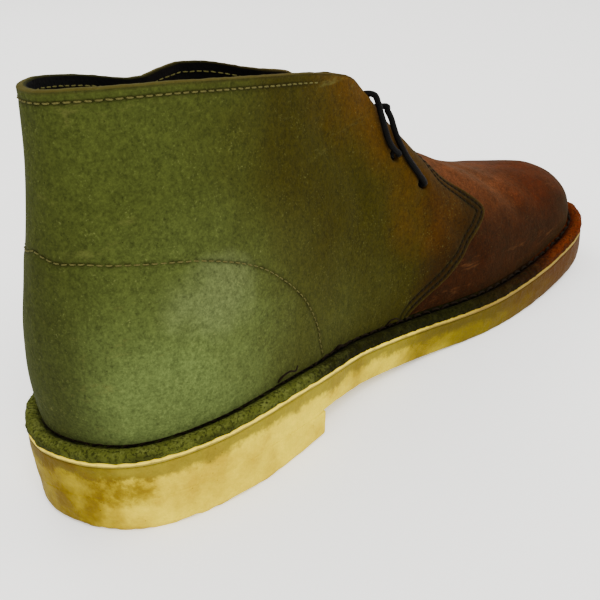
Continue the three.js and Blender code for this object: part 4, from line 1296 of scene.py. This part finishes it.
# how many of the 300 places along the collar its outside row covers: the inner side's stops short
collarRowEnd = {innerSide: 178, outerSide: 300}
paleStitches = Surface()
darkStitches = Surface()
quarterLift = bootSizes["quarterStep"] - 0.2
for side in (innerSide, outerSide):
    # round the collar, three millimetres below its edge, outside and through on the lining
    share = np.linspace(0.0, 0.505, 300)
    top = skinPoint(side, share, np.full(300, 0.999))
    height = np.linalg.norm(top - skinPoint(side, share, np.full(300, 0.95)), axis=-1) / 0.049
    up = 1 - upperLook["collarRow"] / height
    stop = collarRowEnd[side]
    normal = skinNormal(side, share, up)
    stitchRow(paleStitches, wallPoint(side, share, up, quarterLift)[:stop], normal[:stop], 2.9, 2.2, 0.30)
    liningRow = wallPoint(side, share, up, -bootSizes["vampWall"] - 0.1)
    stitchRow(paleStitches, liningRow, -normal, 2.9, 2.2, 0.26)

    # the counter's edge
    _, share, up = skinLine(side, counterLine, 240)
    counterRow = wallPoint(side, share, up, quarterLift + 0.15)
    stitchRow(paleStitches, counterRow, skinNormal(side, share, up), 2.7, 2.0, 0.25)

    # two rows along the quarter's front edge
    for inset, radius in ((upperLook["edgeRow"], 0.30), (upperLook["secondRow"], 0.27)):
        up = np.linspace(0.02, 0.97, 260)
        share = edgeShare(up)
        line = skinPoint(side, share, up)
        normal = skinNormalOneSide(side, share, up)
        tangent = unit(np.gradient(line, axis=0))
        inward = np.cross(normal, tangent)
        behind = skinPoint(side, share - 0.01, up) - line
        inward = inward * np.sign((inward * behind).sum(-1, keepdims=True))
        share, up = slidePlaces(side, share, up, inward, inset)
        keep = (up > 0.0) & (up < 0.985)
        share, up = share[keep], up[keep]
        edgeRow = wallPoint(side, share, up, quarterLift)
        stitchRow(darkStitches, edgeRow, skinNormal(side, share, up), 2.6, 1.9, radius)

    # in the groove between the wall and the flange
    share = np.linspace(0, 1, 900)
    points = edgePoint(side, share, 1.1, 2.6)
    up = np.broadcast_to(np.array([0.0, 0.25, 0.97]), points.shape)
    stitchRow(darkStitches, points, unit(up), flangeLook["stitchPitch"], 4.4, 0.55, 0.10)

place(paleStitches.build("paleStitches", weld=False), paleThread, "lace")
place(darkStitches.build("darkStitches", weld=False), darkThread, "lace")


# Loose fibres along the flange's cut edge, and loose thread ends in its groove
fibreLook = {"count": 1500, "length": 1.5, "radius": 0.07}


# Each fibre is a thin three-sided spike, bent by a random push halfway
def fibreSurface():
    surface = Surface()
    for side in (innerSide, outerSide):
        count = fibreLook["count"]
        share = randomSource.uniform(0, 1, count)
        high = randomSource.uniform(0.35, 1.0, count)
        outset = bootSizes["flangeWidth"] * randomSource.uniform(0.35, 1.0, count)
        root = edgePoint(side, share, outset, 0) + np.stack([0 * high, 0 * high, high * 3.0], -1)
        outward = outwardAt(side, share)
        direction = unit(outward * 0.7 + randomSource.normal(0, 0.7, (count, 3)) + [0, 0, 0.35])
        length = fibreLook["length"] * randomSource.uniform(0.3, 1.0, (count, 1))
        bend = randomSource.normal(0, 0.35, (count, 3)) * length
        middle = root + direction * length * 0.5 + bend * 0.4
        spine = np.stack([root, middle, root + direction * length + bend], 1)
        across = unit(np.cross(direction, [0.3, 0.5, 0.8]))
        other = np.cross(direction, across)
        angle = np.linspace(0, 2 * np.pi, 3, endpoint=False)
        ring = (np.cos(angle)[None, :, None] * across[:, None]
                + np.sin(angle)[None, :, None] * other[:, None])
        size = fibreLook["radius"] * np.array([1.0, 0.8, 0.25])
        points = spine[:, :, None] + ring[:, None] * size[None, :, None, None]
        surface.addCopies(points.reshape(count, -1, 3), tubeQuads(3, 3), {"groove": 0.0})
    return surface


# Three loose ends of the welt thread, each a short bent tube from its hole in the groove
looseEnds = [
    [(66.0, -37.6, 32.2), (67.5, -38.8, 34.4), (70.0, -39.9, 35.6), (72.2, -40.4, 35.0), (73.6, -40.2, 36.4)],
    [(133.0, -31.2, 23.0), (133.8, -32.6, 25.4), (135.6, -34.0, 26.2), (137.2, -34.2, 25.2)],
    [(100.5, -33.0, 27.6), (101.5, -34.4, 29.6), (103.0, -35.6, 29.4)],
]
endSurface = Surface()
for route in looseEnds:
    line = smoothLine(route, 40)
    grid, run, angle = tubeGrid(line, np.linspace(0.42, 0.25, len(line)), 8)
    endSurface.addGrid(grid, tubeFacts(run, angle), closed=True)
place(endSurface.build("threadEnds"), darkThread, "lace")

place(fibreSurface().build("flangeFibres", weld=False), flangeSuede, "suede")
print("stitches and fibres made")


# The stage

stageLook = {"floorSize": 8.0, "worldStrength": 1.50}
floorMesh = bpy.data.meshes.new("floor")
half = stageLook["floorSize"] / 2
floorCorners = [(-half, -half, 0), (half, -half, 0), (half, half, 0), (-half, half, 0)]
floorMesh.from_pydata(floorCorners, [], [(0, 1, 2, 3)])
floor = bpy.data.objects.new("floor", floorMesh)
bpy.context.scene.collection.objects.link(floor)
floorMesh.materials.append(floorMaterial())

world = bpy.data.worlds.new("studio")
bpy.context.scene.world = world
world.use_nodes = True
background = world.node_tree.nodes["Background"]
background.inputs["Color"].default_value = (1.0, 0.99, 0.97, 1.0)
background.inputs["Strength"].default_value = stageLook["worldStrength"]


# An area light that faces a target
def softLight(name, at, target, size, power, color):
    data = bpy.data.lights.new(name, "AREA")
    data.shape = "DISK"
    data.size = size
    data.energy = power
    data.color = color
    light = bpy.data.objects.new(name, data)
    light.location = at
    light.rotation_euler = (Vector(target) - Vector(at)).to_track_quat("-Z", "Y").to_euler()
    bpy.context.scene.collection.objects.link(light)


middle = (0.0, 0.0, 0.06)
softLight("keyLight", (-0.45, -0.75, 1.00), middle, 0.55, 15.0, (1.0, 0.98, 0.94))
softLight("fillLight", (0.9, -0.6, 0.6), middle, 0.9, 4.0, (1.0, 0.97, 0.93))
softLight("backLight", (0.2, 1.0, 0.9), middle, 0.8, 6.0, (1.0, 0.99, 0.97))

# The camera, from the match of the photograph: its place, its turn about the upright axis, its tilt
# down, its roll and its focal length in pixels of a 600-pixel frame
cameraFit = {
    "eye": (-109.389, -232.435, 200.164),
    "turn": -0.769234,
    "tilt": 0.479519,
    "roll": -0.064183,
    "focalPixels": 888.583,
    "framePixels": 600,
}
turn, tilt, roll = cameraFit["turn"], cameraFit["tilt"], cameraFit["roll"]
forward = Vector((-math.sin(turn) * math.cos(tilt), math.cos(turn) * math.cos(tilt), -math.sin(tilt)))
right = forward.cross(Vector((0, 0, 1))).normalized()
upward = right.cross(forward)
rolledRight = right * math.cos(roll) + upward * math.sin(roll)
rolledUp = upward * math.cos(roll) - right * math.sin(roll)
cameraData = bpy.data.cameras.new("camera")
cameraData.sensor_width = 36.0
cameraData.lens = cameraData.sensor_width * cameraFit["focalPixels"] / cameraFit["framePixels"]
cameraData.clip_start = 0.01
camera = bpy.data.objects.new("camera", cameraData)
bpy.context.scene.collection.objects.link(camera)
rotation = Matrix((rolledRight, rolledUp, -forward)).transposed()
eye = (np.array(cameraFit["eye"]) + frameShift) * metresPerMillimetre
camera.matrix_world = Matrix.Translation(Vector(eye)) @ rotation.to_4x4()
bpy.context.scene.camera = camera

print("stage made")
